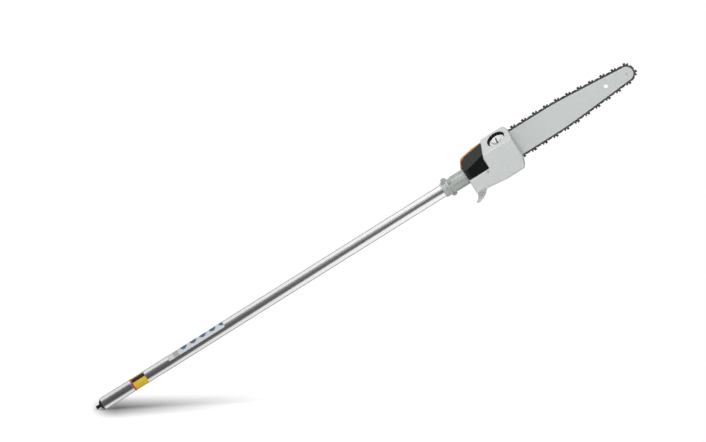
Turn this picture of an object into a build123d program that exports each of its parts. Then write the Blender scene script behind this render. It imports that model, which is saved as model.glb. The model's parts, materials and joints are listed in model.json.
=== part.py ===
from build123d import *

import os
from math import acos, asin, atan, atan2, cos, degrees, hypot, pi, radians, sin, tan

# Pole saw attachment: a fixed drive tube, a bevel gear head, an oil tank, and a guide bar with its chain.
# Millimetres. X runs along the tube from its coupling end, Z is up in the plane of the bar, and the
# side with the oil tank faces -Y. Lengths in the head are measured from the output shaft.

# Fits and clearances
RUN = 0.05
SLIDE = 0.10
FREE = 0.40

# Drive tube and drive shaft
TUBE_OD = 25.4
TUBE_WALL = 1.6
TUBE_LENGTH = 830.0
CLAMP_DEPTH = 33.0
INDEX_SLOT_WIDTH = 6.0
INDEX_SLOT_LENGTH = 10.0
DEPTH_MARK_AT = 68.0
DEPTH_MARK_WIDTH = 1.5
DEPTH_MARK_DEPTH = 0.25
SHAFT_D = 8.0
STUB_SQUARE = 6.2
STUB_OUT = 15.0
STUB_LENGTH = 30.0
BUSH_DEPTH = 16.0
BUSH_OUT = 6.0
BUSH_NOSE_D = 13.0
SLEEVE_COUNT = 4
SLEEVE_LENGTH = 28.0
SLEEVE_FIRST = 110.0
SLEEVE_END_MARGIN = 70.0
SOCKET_SQUARE = 5.5
SOCKET_DEPTH = 14.0

# Ball bearings, all of one size
BEARING_BORE = 10.0
BEARING_OD = 22.0
BEARING_WIDTH = 6.0
BALL_D = 3.9
BALL_COUNT = 9
RING_GAP = 2.6
BEARING_SPACING = 1.0
TUBE_STOP = 2.0
CLIP_THICKNESS = 1.2
CLIP_BITE = 0.9

# Bevel gears
MODULE = 1.4
PINION_TEETH = 15
GEAR_TEETH = 19
GEAR_FACE = 5.5
PRESSURE = radians(20)
BACKLASH = 0.18
PINION_REACH = 13.7
HUB_D = 16.0

# Gear housing
NECK_D = 30.8
NECK_RIB_COUNT = 12
NECK_RIB_HEIGHT = 0.9
NECK_RIB_WIDTH = 1.8
CHAMBER_D = 31.6
CHAMBER_WALL = 1.6
CHAMBER_NEAR = -15.0
CHAMBER_FAR = 10.0
LID_FLANGE = 3.0
LID_BOSS_D = 27.2
LID_NEAR = -22.8
LID_SCREW_ANGLES = (45, -40, -140)
LID_SCREW_D = 3.6
LID_SCREW_LENGTH = 10.0
LUG_D = 6.4
PAD_BACK = 14.0
PAD_REAR = 23.0
PAD_FRONT = 74.0
PAD_HALF = 23.0
PAD_REAR_R = 18.0
PAD_FRONT_R = 4.0
WEAR_PLATE = 0.8
WEAR_REAR = 22.0
WEAR_HALF = 19.0
WEAR_CORNER_R = 3.0
EAR_LENGTH = 10.0
EAR_TOP = 20.5
EAR_WIDTH = 16.0
CLAMP_SLOT = 2.0
CLAMP_SCREW_D = 5.0
LOCATING_SCREW_D = 4.0
TANK_SCREW_D = 4.0
TANK_SCREW_LENGTH = 26.0
SEAM_SCREW_D = 2.6
PAN_HEIGHT = 0.55
PAN_RADIUS = 0.9
PAN_SOCKET = 0.55

# Oil pump
PUMP_MODULE = 1.0
PUMP_DRIVE_TEETH = 14
PUMP_TEETH = 18
PUMP_PRESSURE = radians(25)
PUMP_ANGLE = radians(30)
PUMP_GEAR_WIDTH = 2.6
PUMP_BODY_D = 13.0
PUMP_BODY_LENGTH = 10.5
PLUNGER_D = 6.0
HOSE_D = 5.0
HOSE_BORE = 2.6

# Guide bar and chain
BAR_Y = 25.0
BAR_HALF = 26.25
BAR_PLATE = 1.05
GROOVE_WIDTH = 1.2
GROOVE_DEPTH = 5.4
HEEL_ANGLE = radians(18)
HEEL_RADIUS = 60.0
TAPER_ANGLE = radians(4.6)
TAPER_RADIUS = 900.0
BAR_TRAVEL = 6.0
HANG_HOLE_D = 8.6
HANG_HOLE_FROM_NOSE = 48.0
STUD_D = 8.0
NUT_FLATS = 13.0
NUT_HEIGHT = 6.5
STUD_FROM_AXIS = 49.0
RIVET_PITCH = 6.35
DRIVE_LINKS = 64
SPROCKET_TEETH = 8
NOSE_TEETH = 8
RAIL_OFFSET = 2.3
LINK_END_R = 2.2
LINK_WAIST = 0.45
DRIVE_LINK_BELLY = 0.1
DRIVE_LINK_GAUGE = 1.1
STRAP_GAUGE = 0.9
TANG_DEPTH = 4.6
RIVET_D = 1.9
RIVET_HEAD_D = 3.0
RIVET_HEAD = 0.35
CUTTER_HEIGHT = 4.9
DEPTH_GAUGE_HEIGHT = 4.4
CUTTER_SET = 0.6
RIM_WIDTH = 2.6
RIM_GROOVE = 2.6

# Chain tensioner
PEG_D = 5.0
PEG_FROM_AXIS = 36.0
PEG_BELOW = 13.0
TENSION_SCREW_D = 5.0
TENSION_SCREW_Y = 18.6
BLOCK_LENGTH = 10.0
BLOCK_HEIGHT = 9.0

# Covers and oil tank
COVER_NEAR = -28.0
COVER_FAR = 12.0
COVER_REAR = -19.6
COVER_LOW = -6.6
COVER_TOP = 39.0
COVER_SHOULDER = 22.0
COVER_BROW = 33.0
COVER_BROW_X = 11.6
COVER_CREASE = 13.3
COVER_RISE = 0.23
COVER_CORNER_X = 7.4
COVER_CORNER_Y = 8.9
COVER_WALL = 2.0
COVER_EDGE_R = 1.6
TANK_NEAR = -30.0
TANK_FAR = PAD_BACK
TANK_WALL = 2.4
TANK_CREASE = 22.0
TANK_TOP = 44.0
TANK_EDGE_R = 3.5
TANK_FRONT = 96.5
TANK_BROW_X = 91.0
TANK_BROW = 33.0
TANK_CHIN_X = 88.5
TANK_CHIN = -22.0
KEEL_X = 45.0
APRON_REAR = -19.5
APRON_TOP = -7.0
APRON_LOW = -37.0
APRON_KEEL = -38.5
APRON_SHELF = -24.0
SEAM = 27.5
SEAM_BEND = 14.0
SEAM_LEAN = 0.375
HOOK_NEAR = -16.0
HOOK_FAR = -6.0
SLOPE = (TANK_TOP - TANK_CREASE) / (TANK_FAR - TANK_NEAR)
WELL_D = 39.0
WELL_DEPTH = 13.0
WELL_FROM_AXIS = 68.0
WELL_Y = -7.5
WELL_RIM = 1.2
WELL_BULGE = 2.8
LINER_WALL = 0.9
LINER_END = -5.0
VENT_Z = -3.0
NECK_BORE = 23.4
NECK_WALL = 2.3
NECK_TOP = -9.4
CAP_D = 33.0
CAP_FLANGE = 2.2
CAP_BOSS_D = 19.6
CAP_BOSS = 4.6
CAP_SPIGOT = 8.0
CAP_SLOT = 2.6
SEAL_THICKNESS = 1.2
SPROCKET_COVER_NEAR = 17.2
SPROCKET_COVER_FAR = 42.0
SPROCKET_COVER_WALL = 2.2
SIDE_EDGE_R = 5.0
SIDE_REAR = -29.5
SIDE_REAR_LOW = -9.0
SIDE_REAR_HIGH = 7.0
SIDE_SHOULDER_X = -18.0
SIDE_SHOULDER = 30.0
SIDE_BROW_X = 11.0
SIDE_BROW = 35.2
SIDE_TOP_X = 77.0
SIDE_TOP = 40.0
SIDE_LOW_X = 82.0
SIDE_LOW = -38.0
SIDE_KEEL_X = -17.0
SIDE_KEEL = -36.0
SIDE_HEEL = -24.0

# Values that follow from the sizes above
tube_r = TUBE_OD / 2
tube_inner = tube_r - TUBE_WALL
shaft_r = SHAFT_D / 2
bearing_a = TUBE_LENGTH + TUBE_STOP
bearing_b = bearing_a + BEARING_WIDTH + BEARING_SPACING
clip_x = bearing_b + BEARING_WIDTH
pinion_r = MODULE * PINION_TEETH / 2
gear_r = MODULE * GEAR_TEETH / 2
cone_length = hypot(pinion_r, gear_r)
axis_x = clip_x + PINION_REACH + gear_r
neck_start = TUBE_LENGTH - CLAMP_DEPTH
neck_r = NECK_D / 2
lug_x = neck_start + 16.0
chamber_r = CHAMBER_D / 2
bearing_r = BEARING_OD / 2
spindle_r = BEARING_BORE / 2
near_bearing = CHAMBER_NEAR - BEARING_WIDTH - 0.3
far_bearing = CHAMBER_FAR + 0.7
pump_centres = PUMP_MODULE * (PUMP_DRIVE_TEETH + PUMP_TEETH) / 2
pump_x = axis_x + pump_centres * cos(PUMP_ANGLE)
pump_z = pump_centres * sin(PUMP_ANGLE)
pump_gear_y = CHAMBER_FAR - 0.5 - PUMP_GEAR_WIDTH
pump_body_y = pump_gear_y - 0.4 - PUMP_BODY_LENGTH
pump_pocket_r = PUMP_MODULE * (PUMP_TEETH / 2 + 1) + 0.6
bar_half_thickness = GROOVE_WIDTH / 2 + BAR_PLATE
bar_near = BAR_Y - bar_half_thickness
bar_far = BAR_Y + bar_half_thickness
pad_face = bar_near - RUN - WEAR_PLATE
stud_x = axis_x + STUD_FROM_AXIS
peg_x = axis_x + PEG_FROM_AXIS
sprocket_pitch_r = RIVET_PITCH / (2 * sin(pi / (2 * SPROCKET_TEETH)))
nose_pitch_r = RIVET_PITCH / (2 * sin(pi / (2 * NOSE_TEETH)))
strap_y = DRIVE_LINK_GAUGE / 2 + RUN
rim_r = sprocket_pitch_r - LINK_END_R - FREE
hub_near = BAR_Y - RIM_GROOVE / 2 - RIM_WIDTH
hub_far = BAR_Y + RIM_GROOVE / 2 + RIM_WIDTH
sprocket_recess = hub_near - 0.5
tang_clear_r = RAIL_OFFSET + TANG_DEPTH + FREE
slope_angle = atan(SLOPE)
well_z = TANK_CREASE + (WELL_Y - TANK_NEAR) * SLOPE
BASE = (Align.CENTER, Align.CENTER, Align.MIN)
CORNER = (Align.MIN, Align.MIN, Align.MIN)


def along_x(radius, start, end, y=0.0, z=0.0):
    """Round bar on an axis parallel to X."""
    return Pos(start, y, z) * Rot(0, 90, 0) * Cylinder(radius, end - start, align=BASE)


def along_y(radius, start, end, x=0.0, z=0.0):
    """Round bar on an axis parallel to Y."""
    return Pos(x, start, z) * Rot(-90, 0, 0) * Cylinder(radius, end - start, align=BASE)


def along_z(radius, start, end, x=0.0, y=0.0):
    """Round bar on an axis parallel to Z."""
    return Pos(x, y, start) * Cylinder(radius, end - start, align=BASE)


def block(x0, x1, y0, y1, z0, z1):
    """Box between two corners."""
    return Pos(x0, y0, z0) * Box(x1 - x0, y1 - y0, z1 - z0, align=CORNER)


def slab(outline, near, far):
    """Face drawn in X and Z, thickened from Y = near to Y = far."""
    plane = Plane(origin=(0, far, 0), x_dir=(1, 0, 0), z_dir=(0, -1, 0))
    return extrude(plane * outline, amount=far - near)


def outline(points, radii):
    """Closed face in X and Z with a rounding at each corner; x is measured from the output shaft."""
    placed = [(axis_x + x, z) for x, z in points]
    return make_face(FilletPolyline(*placed, radius=radii, close=True))


def rectangle(rear, front, half, radii):
    """Rounded rectangle in X and Z, as high below the axis as above it."""
    return outline([(rear, -half), (front, -half), (front, half), (rear, half)], radii)


def polygon(points):
    """Face with straight edges."""
    return make_face(Polyline(*points, close=True))


def group(shapes):
    """Repeats of one piece as one node."""
    return Compound(children=[solid for shape in shapes for solid in shape.solids()])


def hexagon(across_flats, start, end, x, z):
    """Hexagonal bar on an axis parallel to Y."""
    face = Pos(x, z) * RegularPolygon(across_flats / 2, 6, major_radius=False)
    return slab(face, start, end)


def beyond(plane):
    """Everything on the outer side of a plane."""
    reach = 400
    return plane * Box(reach, reach, reach, align=BASE)


def above_slope(near, crease):
    """Everything above the tank's sloping top, which starts at a crease on a near face."""
    return beyond(Plane(origin=(axis_x, near, crease), x_dir=(1, 0, 0), z_dir=(0, -SLOPE, 1)))


def bevel_outline(teeth, mate_teeth, height, turn):
    """Outline of a bevel gear cut square to its axis at a distance from the apex."""
    cone = atan2(teeth, mate_teeth)
    base = asin(sin(cone) * cos(PRESSURE))
    tip = cone + atan(0.9 * MODULE / cone_length)
    root = cone - atan(1.25 * MODULE / cone_length)

    def lead(angle):
        if angle <= base:
            return 0.0
        return acos(cos(angle) / cos(base)) / sin(base) - acos(tan(base) / tan(angle))

    half = pi / (2 * teeth) - BACKLASH / (MODULE * teeth) + lead(cone)
    angles = [root, max(base, root), (max(base, root) + cone) / 2, cone, (cone + tip) / 2, tip]
    points = []
    for tooth in range(teeth):
        middle = turn + 2 * pi * tooth / teeth
        flank = [(height * tan(angle), half - lead(angle)) for angle in angles]
        rising = [(radius, middle - offset_angle) for radius, offset_angle in flank]
        falling = [(radius, middle + offset_angle) for radius, offset_angle in reversed(flank)]
        points += [(radius * cos(at), radius * sin(at)) for radius, at in rising + falling]
    return polygon(points)


def bevel_teeth(teeth, mate_teeth, turn):
    """Toothed part of a bevel gear with its apex at the origin and its axis along Z."""
    cone = atan2(teeth, mate_teeth)
    back = cone_length * cos(cone)
    front = (cone_length - GEAR_FACE) * cos(cone)
    near = Pos(0, 0, front) * bevel_outline(teeth, mate_teeth, front, turn)
    far = Pos(0, 0, back) * bevel_outline(teeth, mate_teeth, back, turn)
    return loft([near, far], ruled=True)


def spur_face(teeth, turn):
    """Outline of a pump gear about the origin, with a tooth in the direction of turn."""
    pitch = PUMP_MODULE * teeth / 2
    base = pitch * cos(PUMP_PRESSURE)
    tip = pitch + 0.9 * PUMP_MODULE
    root = pitch - 1.25 * PUMP_MODULE

    def lead(radius):
        if radius <= base:
            return 0.0
        pressure = acos(base / radius)
        return tan(pressure) - pressure

    half = pi / (2 * teeth) - BACKLASH / (2 * pitch) + lead(pitch)
    radii = [root, max(base, root), (max(base, root) + pitch) / 2, pitch, tip]
    points = []
    for tooth in range(teeth):
        middle = turn + 2 * pi * tooth / teeth
        flank = [(radius, half - lead(radius)) for radius in radii]
        rising = [(radius, middle - offset_angle) for radius, offset_angle in flank]
        falling = [(radius, middle + offset_angle) for radius, offset_angle in reversed(flank)]
        points += [(radius * cos(at), radius * sin(at)) for radius, at in rising + falling]
    return polygon(points)


def bearing_rings():
    """Inner ring, outer ring and balls of a bearing standing on the origin with its axis along Z."""
    pitch_r = (spindle_r + bearing_r) / 2
    groove = Pos(0, 0, BEARING_WIDTH / 2) * Torus(pitch_r, BALL_D / 2 + RUN)
    body = Cylinder(bearing_r, BEARING_WIDTH, align=BASE)
    inner = Cylinder(pitch_r - RING_GAP / 2, BEARING_WIDTH, align=BASE)
    inner = inner - Cylinder(spindle_r, BEARING_WIDTH, align=BASE) - groove
    outer = body - Cylinder(pitch_r + RING_GAP / 2, BEARING_WIDTH, align=BASE) - groove
    balls = []
    for step in range(BALL_COUNT):
        angle = 2 * pi * step / BALL_COUNT
        place = Pos(pitch_r * cos(angle), pitch_r * sin(angle), BEARING_WIDTH / 2)
        balls.append(place * Sphere(BALL_D / 2))
    return inner, outer, balls


def tube_pieces():
    """Drive tube, end bush and the bushes that carry the shaft."""
    tube = along_x(tube_r, 0, TUBE_LENGTH) - along_x(tube_inner, 0, TUBE_LENGTH)
    mark_start = DEPTH_MARK_AT - DEPTH_MARK_WIDTH / 2
    mark_end = DEPTH_MARK_AT + DEPTH_MARK_WIDTH / 2
    mark = along_x(tube_r + 1, mark_start, mark_end)
    mark = mark - along_x(tube_r - DEPTH_MARK_DEPTH, mark_start, mark_end)
    half_slot = INDEX_SLOT_WIDTH / 2
    slot = block(-1, INDEX_SLOT_LENGTH, -half_slot, half_slot, tube_inner / 2, tube_r + 1)
    tube = tube - mark - slot - along_z(LOCATING_SCREW_D / 2, -tube_r - 1, 0, lug_x)

    bush = along_x(tube_inner, 0, BUSH_DEPTH)
    nose = Cone(BUSH_NOSE_D / 2, tube_inner + TUBE_WALL / 2, BUSH_OUT, align=BASE)
    bush = bush + Pos(-BUSH_OUT, 0, 0) * Rot(0, 90, 0) * nose
    bush = bush - along_x(shaft_r + RUN, -BUSH_OUT - 1, BUSH_DEPTH + 1)

    last = neck_start - SLEEVE_END_MARGIN
    step = (last - SLEEVE_FIRST) / (SLEEVE_COUNT - 1)
    sleeves = []
    for index in range(SLEEVE_COUNT):
        start = SLEEVE_FIRST + index * step
        ring = along_x(tube_inner, start, start + SLEEVE_LENGTH)
        sleeves.append(ring - along_x(shaft_r + RUN, start - 1, start + SLEEVE_LENGTH + 1))
    return {"drive_tube": tube, "tube_end_bush": bush, "shaft_sleeves": group(sleeves)}


def drive_line():
    """Drive shaft and bevel pinion, which turn together about X."""
    tail = bearing_a - SOCKET_DEPTH / 2
    half_stub = STUB_SQUARE / 2
    half_socket = SOCKET_SQUARE / 2
    shaft = along_x(shaft_r, STUB_LENGTH - STUB_OUT, tail - 1)
    stub = block(-STUB_OUT, STUB_LENGTH - STUB_OUT + 1, -half_stub, half_stub, -half_stub, half_stub)
    stub = stub & along_x(shaft_r, -STUB_OUT, STUB_LENGTH)
    socket = block(tail - 2, tail + SOCKET_DEPTH, -half_socket, half_socket, -half_socket, half_socket)
    shaft = shaft + stub + socket

    toward_tube = Plane(origin=(axis_x, 0, 0), x_dir=(0, -1, 0), z_dir=(-1, 0, 0))
    back = axis_x - gear_r
    pinion = toward_tube * bevel_teeth(PINION_TEETH, GEAR_TEETH, 0.0)
    pinion = pinion + along_x(HUB_D / 2, clip_x + CLIP_THICKNESS + FREE, back)
    pinion = pinion + along_x(spindle_r, tail, back)
    pinion = pinion - socket
    return {"drive_shaft": shaft, "bevel_pinion": pinion}


def bearings():
    """Four bearings: two on the pinion and two on the output shaft."""
    inner, outer, balls = bearing_rings()
    on_pinion = [Pos(start, 0, 0) * Rot(0, 90, 0) for start in (bearing_a, bearing_b)]
    on_output = [Pos(axis_x, start, 0) * Rot(-90, 0, 0) for start in (near_bearing, far_bearing)]
    seats = on_pinion + on_output
    clip = along_x(bearing_r + CLIP_BITE, clip_x, clip_x + CLIP_THICKNESS)
    clip = clip - along_x(bearing_r - CLIP_BITE, clip_x - 1, clip_x + CLIP_THICKNESS + 1)
    clip = clip - block(clip_x - 1, clip_x + CLIP_THICKNESS + 1, -2, 2, 0, bearing_r * 2)
    return {
        "bearing_outer_rings": group([seat * outer for seat in seats]),
        "bearing_balls": group([seat * ball for seat in seats for ball in balls]),
        "pinion_inner_rings": group([seat * inner for seat in on_pinion]),
        "output_inner_rings": group([seat * inner for seat in on_output]),
        "pinion_circlip": clip,
    }


def lid_screw_centres():
    """Centres of the lid screws in X and Z."""
    reach = chamber_r + CHAMBER_WALL + LUG_D / 2 - 2.2
    return [(axis_x + reach * cos(radians(at)), reach * sin(radians(at))) for at in LID_SCREW_ANGLES]


def tank_screw_centre():
    """Centre of the tank screw in X and Z, beside the seam with the gear cover."""
    return axis_x + SEAM - 5.0, -11.0


def pad_screw_centres():
    """Centres of the screws that hold the tank to the bar pad."""
    return [(axis_x + PAD_FRONT - 7.0, z) for z in (-19.2, 15.0)]


def clamp_neck():
    """Split neck with its ears, screw lug and ribs, before it is bored."""
    ear_start = neck_start + 4.0
    ear_points = [
        (ear_start - axis_x, 8.0),
        (ear_start - axis_x, EAR_TOP),
        (ear_start + EAR_LENGTH - axis_x, EAR_TOP),
        (ear_start + EAR_LENGTH - axis_x, 8.0),
    ]
    neck = along_x(neck_r, neck_start, axis_x - chamber_r + 4)
    neck = neck + slab(outline(ear_points, [0, 4, 4, 0]), -EAR_WIDTH / 2, EAR_WIDTH / 2)
    neck = neck + along_x(neck_r + 2.2, neck_start + 11.0, neck_start + 15.0)
    neck = neck + block(neck_start + 11.0, neck_start + 21.0, -4.5, 4.5, -neck_r - 3.2, 0)
    neck = neck + along_y(3.6, -neck_r, 0, neck_start + 20.0, 10.0)
    rib_start = neck_start + 23.0
    rib_end = axis_x - chamber_r - CHAMBER_WALL - 1.0
    half_rib = NECK_RIB_WIDTH / 2
    for index in range(NECK_RIB_COUNT):
        rib = block(rib_start, rib_end, -half_rib, half_rib, 0, neck_r + NECK_RIB_HEIGHT)
        neck = neck + Rot(360.0 * index / NECK_RIB_COUNT, 0, 0) * rib
    return neck


def gear_housing():
    """Die-cast housing: clamp neck, gear chamber, pump pocket and bar pad."""
    outer_r = chamber_r + CHAMBER_WALL
    pump_wall_r = pump_pocket_r + CHAMBER_WALL
    body = clamp_neck()
    body = body + along_y(outer_r, CHAMBER_NEAR, pad_face, axis_x)
    body = body + along_y(pump_wall_r, pump_body_y - 2, PAD_BACK + 1, pump_x, pump_z)
    pad = rectangle(-PAD_REAR, PAD_FRONT, PAD_HALF, [PAD_REAR_R, PAD_FRONT_R, PAD_FRONT_R, PAD_REAR_R])
    body = body + slab(pad, PAD_BACK, pad_face)
    for x, z in lid_screw_centres():
        body = body + along_y(LUG_D / 2, CHAMBER_NEAR, PAD_BACK, x, z)
    tank_x, tank_z = tank_screw_centre()
    body = body + along_y(LUG_D / 2, -18.0, PAD_BACK + 1, tank_x, tank_z)
    body = body + block(axis_x + chamber_r - 2, tank_x, -12.0, PAD_BACK, tank_z - 1.5, tank_z + 1.5)

    body = body - along_y(outer_r + 2.0, CHAMBER_NEAR - 20, CHAMBER_NEAR, axis_x)
    body = body - along_x(tube_r, neck_start - 1, TUBE_LENGTH)
    body = body - along_x(bearing_r - 1.0, TUBE_LENGTH - 1, bearing_a + 1)
    body = body - along_x(bearing_r, bearing_a, clip_x + CLIP_THICKNESS + 2)
    body = body - along_x(bearing_r + CLIP_BITE, clip_x, clip_x + CLIP_THICKNESS)
    body = body - along_x(pinion_r + 2.0, clip_x + CLIP_THICKNESS + 1.4, axis_x - gear_r + 1.5)
    body = body - along_x(pinion_r + 0.7, axis_x - gear_r, axis_x - CHAMBER_FAR)
    body = body - along_y(chamber_r, CHAMBER_NEAR - 1, CHAMBER_FAR, axis_x)
    body = body - along_y(PUMP_BODY_D / 2, pump_body_y - 0.4, pump_gear_y, pump_x, pump_z)
    body = body - along_y(pump_pocket_r, pump_gear_y - 0.4, CHAMBER_FAR, pump_x, pump_z)
    body = body - along_y(PLUNGER_D / 2 + RUN, CHAMBER_FAR - 1, PAD_BACK - 1, pump_x, pump_z)
    body = body - along_x(HOSE_D / 2, pump_x + 2, axis_x + SEAM + 5, 0, pump_z)
    body = body - along_y(bearing_r, CHAMBER_FAR - 1, far_bearing + BEARING_WIDTH, axis_x)
    body = body - along_y(bearing_r - 2.0, far_bearing, pad_face + 1, axis_x)
    body = body - along_y(rim_r + 1.5, sprocket_recess, pad_face + 1, axis_x)
    body = body - block(neck_start - 1, neck_start + 22.0, -CLAMP_SLOT / 2, CLAMP_SLOT / 2, 0, EAR_TOP + 5)
    body = body - along_y(STUD_D / 2, PAD_BACK - 1, pad_face + 1, stud_x)
    body = body - tension_pocket(pad_face + 1)
    screw_r = TENSION_SCREW_D / 2 + RUN
    body = body - along_x(screw_r, peg_x - 18, axis_x + PAD_FRONT + 1, TENSION_SCREW_Y, -PEG_BELOW)
    for screw in clamp_screws() + lid_screws() + tank_screws():
        body = body - screw
    return body


def tension_pocket(far):
    """Pocket in the bar pad in which the tensioner block slides."""
    half = BLOCK_LENGTH / 2 + 0.6
    rise = BLOCK_HEIGHT / 2 + 0.3
    low, high = -PEG_BELOW - rise, -PEG_BELOW + rise
    return block(peg_x - half - BAR_TRAVEL, peg_x + half, PAD_BACK + 1, far, low, high)


def chamber_lid():
    """Lid of the gear chamber with the seat of the near bearing."""
    flange_near = CHAMBER_NEAR - LID_FLANGE
    lid = along_y(chamber_r + CHAMBER_WALL, flange_near, CHAMBER_NEAR, axis_x)
    lid = lid + along_y(LID_BOSS_D / 2, LID_NEAR, CHAMBER_NEAR, axis_x)
    for x, z in lid_screw_centres():
        lid = lid + along_y(LUG_D / 2, flange_near, CHAMBER_NEAR, x, z)
    lid = lid - along_y(bearing_r, near_bearing, CHAMBER_NEAR + 1, axis_x)
    for screw in lid_screws():
        lid = lid - screw
    return lid


def pan_screw(diameter, head_near, length, x, z):
    """Pan-head screw along Y with its head on the near side and a socket in it."""
    head = diameter * PAN_HEIGHT
    screw = along_y(diameter * PAN_RADIUS, head_near, head_near + head, x, z)
    screw = screw + along_y(diameter / 2, head_near + head, head_near + head + length, x, z)
    return screw - hexagon(diameter * PAN_SOCKET, head_near - 1, head_near + head * 0.6, x, z)


def clamp_screws():
    """Clamp screw in the ears, the locating screw below the neck and the small side screw."""
    ear_x = neck_start + 4.0 + EAR_LENGTH / 2
    head_near = -EAR_WIDTH / 2 - CLAMP_SCREW_D * PAN_HEIGHT
    clamp = pan_screw(CLAMP_SCREW_D, head_near, EAR_WIDTH - 1, ear_x, EAR_TOP - 4.2)
    bottom = -neck_r - 3.2
    locating = along_z(3.4, bottom - 1.8, bottom, lug_x)
    locating = locating + along_z(LOCATING_SCREW_D / 2, bottom, -tube_r + 1.0, lug_x)
    side = along_y(2.4, -neck_r - 1.4, -neck_r, neck_start + 20.0, 10.0)
    side = side + along_y(1.5, -neck_r, -neck_r + 4.0, neck_start + 20.0, 10.0)
    return [clamp, locating, side]


def lid_screws():
    """Screws of the chamber lid."""
    head_near = CHAMBER_NEAR - LID_FLANGE - LID_SCREW_D * PAN_HEIGHT
    return [pan_screw(LID_SCREW_D, head_near, LID_SCREW_LENGTH, x, z) for x, z in lid_screw_centres()]


def tank_screws():
    """The screw beside the seam and the screws that hold the tank to the bar pad."""
    x, z = tank_screw_centre()
    head_near = TANK_NEAR - SEAM_SCREW_D * PAN_HEIGHT + 0.4
    screws = [pan_screw(SEAM_SCREW_D, head_near, TANK_SCREW_LENGTH, x, z)]
    head_start = pad_face - TANK_SCREW_D * PAN_HEIGHT
    for pad_x, pad_z in pad_screw_centres():
        shank = along_y(TANK_SCREW_D / 2, PAD_BACK - 9.0, head_start, pad_x, pad_z)
        screws.append(shank + along_y(TANK_SCREW_D * PAN_RADIUS, head_start, pad_face, pad_x, pad_z))
    return screws


def output_line():
    """Output shaft with the bevel gear, pump drive gear and chain sprocket."""
    toward_near = Plane(origin=(axis_x, 0, 0), x_dir=(-1, 0, 0), z_dir=(0, -1, 0))
    gear = toward_near * bevel_teeth(GEAR_TEETH, PINION_TEETH, pi / GEAR_TEETH)
    gear = gear + along_y(HUB_D / 2, near_bearing + BEARING_WIDTH, -pinion_r, axis_x)
    gear = gear - along_y(spindle_r, near_bearing - 1, CHAMBER_FAR, axis_x)

    drive = Pos(axis_x, 0) * spur_face(PUMP_DRIVE_TEETH, PUMP_ANGLE)
    drive = slab(drive, pump_gear_y, pump_gear_y + PUMP_GEAR_WIDTH)
    drive = drive + along_y(spindle_r + 0.6, pump_gear_y, far_bearing, axis_x)
    drive = drive - along_y(spindle_r, pump_gear_y - 1, far_bearing + 1, axis_x)

    sprocket = along_y(sprocket_pitch_r - tang_clear_r, hub_near, hub_far, axis_x)
    for start in (hub_near, hub_far - RIM_WIDTH):
        sprocket = sprocket + along_y(rim_r, start, start + RIM_WIDTH, axis_x)
    for tooth in range(SPROCKET_TEETH):
        angle = 2 * pi * tooth / SPROCKET_TEETH
        x, z = axis_x + rim_r * cos(angle), rim_r * sin(angle)
        sprocket = sprocket - along_y(2.4, hub_near - 1, hub_far + 1, x, z)
    sprocket = sprocket - along_y(spindle_r, hub_near - 1, hub_far + 1, axis_x)

    washer_far = hub_far + 1.5
    washer = along_y(spindle_r + 4.0, hub_far, washer_far, axis_x)
    washer = washer - along_y(spindle_r, hub_far - 1, washer_far + 1, axis_x)
    clip_far = washer_far + CLIP_THICKNESS
    groove_r = spindle_r - 1.0
    clip = along_y(spindle_r + 3.0, washer_far, clip_far, axis_x)
    clip = clip - along_y(groove_r, washer_far - 1, clip_far + 1, axis_x)
    clip = clip - block(axis_x - 2, axis_x + 2, washer_far - 1, clip_far + 1, 0, spindle_r * 3)
    groove = along_y(spindle_r, washer_far, clip_far, axis_x)
    groove = groove - along_y(groove_r, washer_far, clip_far, axis_x)
    shaft = along_y(spindle_r, near_bearing, clip_far + 2.0, axis_x) - groove
    seal_near = far_bearing + BEARING_WIDTH
    seal = along_y(bearing_r - 2.0, seal_near + 0.3, sprocket_recess - FREE, axis_x)
    seal = seal - along_y(spindle_r + RUN, seal_near, pad_face, axis_x)
    return {
        "output_shaft": shaft,
        "bevel_gear": gear,
        "pump_drive_gear": drive,
        "chain_sprocket": sprocket,
        "sprocket_washer": washer,
        "sprocket_clip": clip,
        "shaft_seal": seal,
    }


def oil_pump():
    """Pump body, plunger with its gear, and the hose that draws oil from the tank."""
    body = along_y(PUMP_BODY_D / 2, pump_body_y, pump_gear_y - 0.4, pump_x, pump_z)
    body = body - along_y(PLUNGER_D / 2 + RUN, pump_body_y + 2.0, pump_gear_y, pump_x, pump_z)
    body = body - along_x(HOSE_D / 2, pump_x + PLUNGER_D / 2 + 1.5, pump_x + PUMP_BODY_D, 0, pump_z)
    turn = PUMP_ANGLE + pi + pi / PUMP_TEETH
    gear = Pos(pump_x, pump_z) * spur_face(PUMP_TEETH, turn)
    gear = slab(gear, pump_gear_y, pump_gear_y + PUMP_GEAR_WIDTH)
    gear = gear - along_y(PLUNGER_D / 2, pump_gear_y - 1, CHAMBER_FAR + 1, pump_x, pump_z)
    plunger = along_y(PLUNGER_D / 2, pump_body_y + 2.5, PAD_BACK - 1.3, pump_x, pump_z)

    start = pump_x + PLUNGER_D / 2 + 1.5
    run_x = axis_x + SEAM + 9.0
    low_z = -TANK_TOP + 16.0
    path = FilletPolyline((start, 0, pump_z), (run_x, 0, pump_z), (run_x, 0, low_z), radius=5.0)
    ends = Plane(origin=path @ 0, z_dir=path % 0)
    hose = sweep(ends * Circle(HOSE_D / 2), path=path) - sweep(ends * Circle(HOSE_BORE / 2), path=path)
    strainer = along_z(6.5, low_z - 9.0, low_z, run_x, 0)
    return {
        "pump_body": body,
        "pump_plunger": plunger,
        "pump_gear": gear,
        "suction_hose": hose,
        "pickup_filter": strainer,
    }


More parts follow.
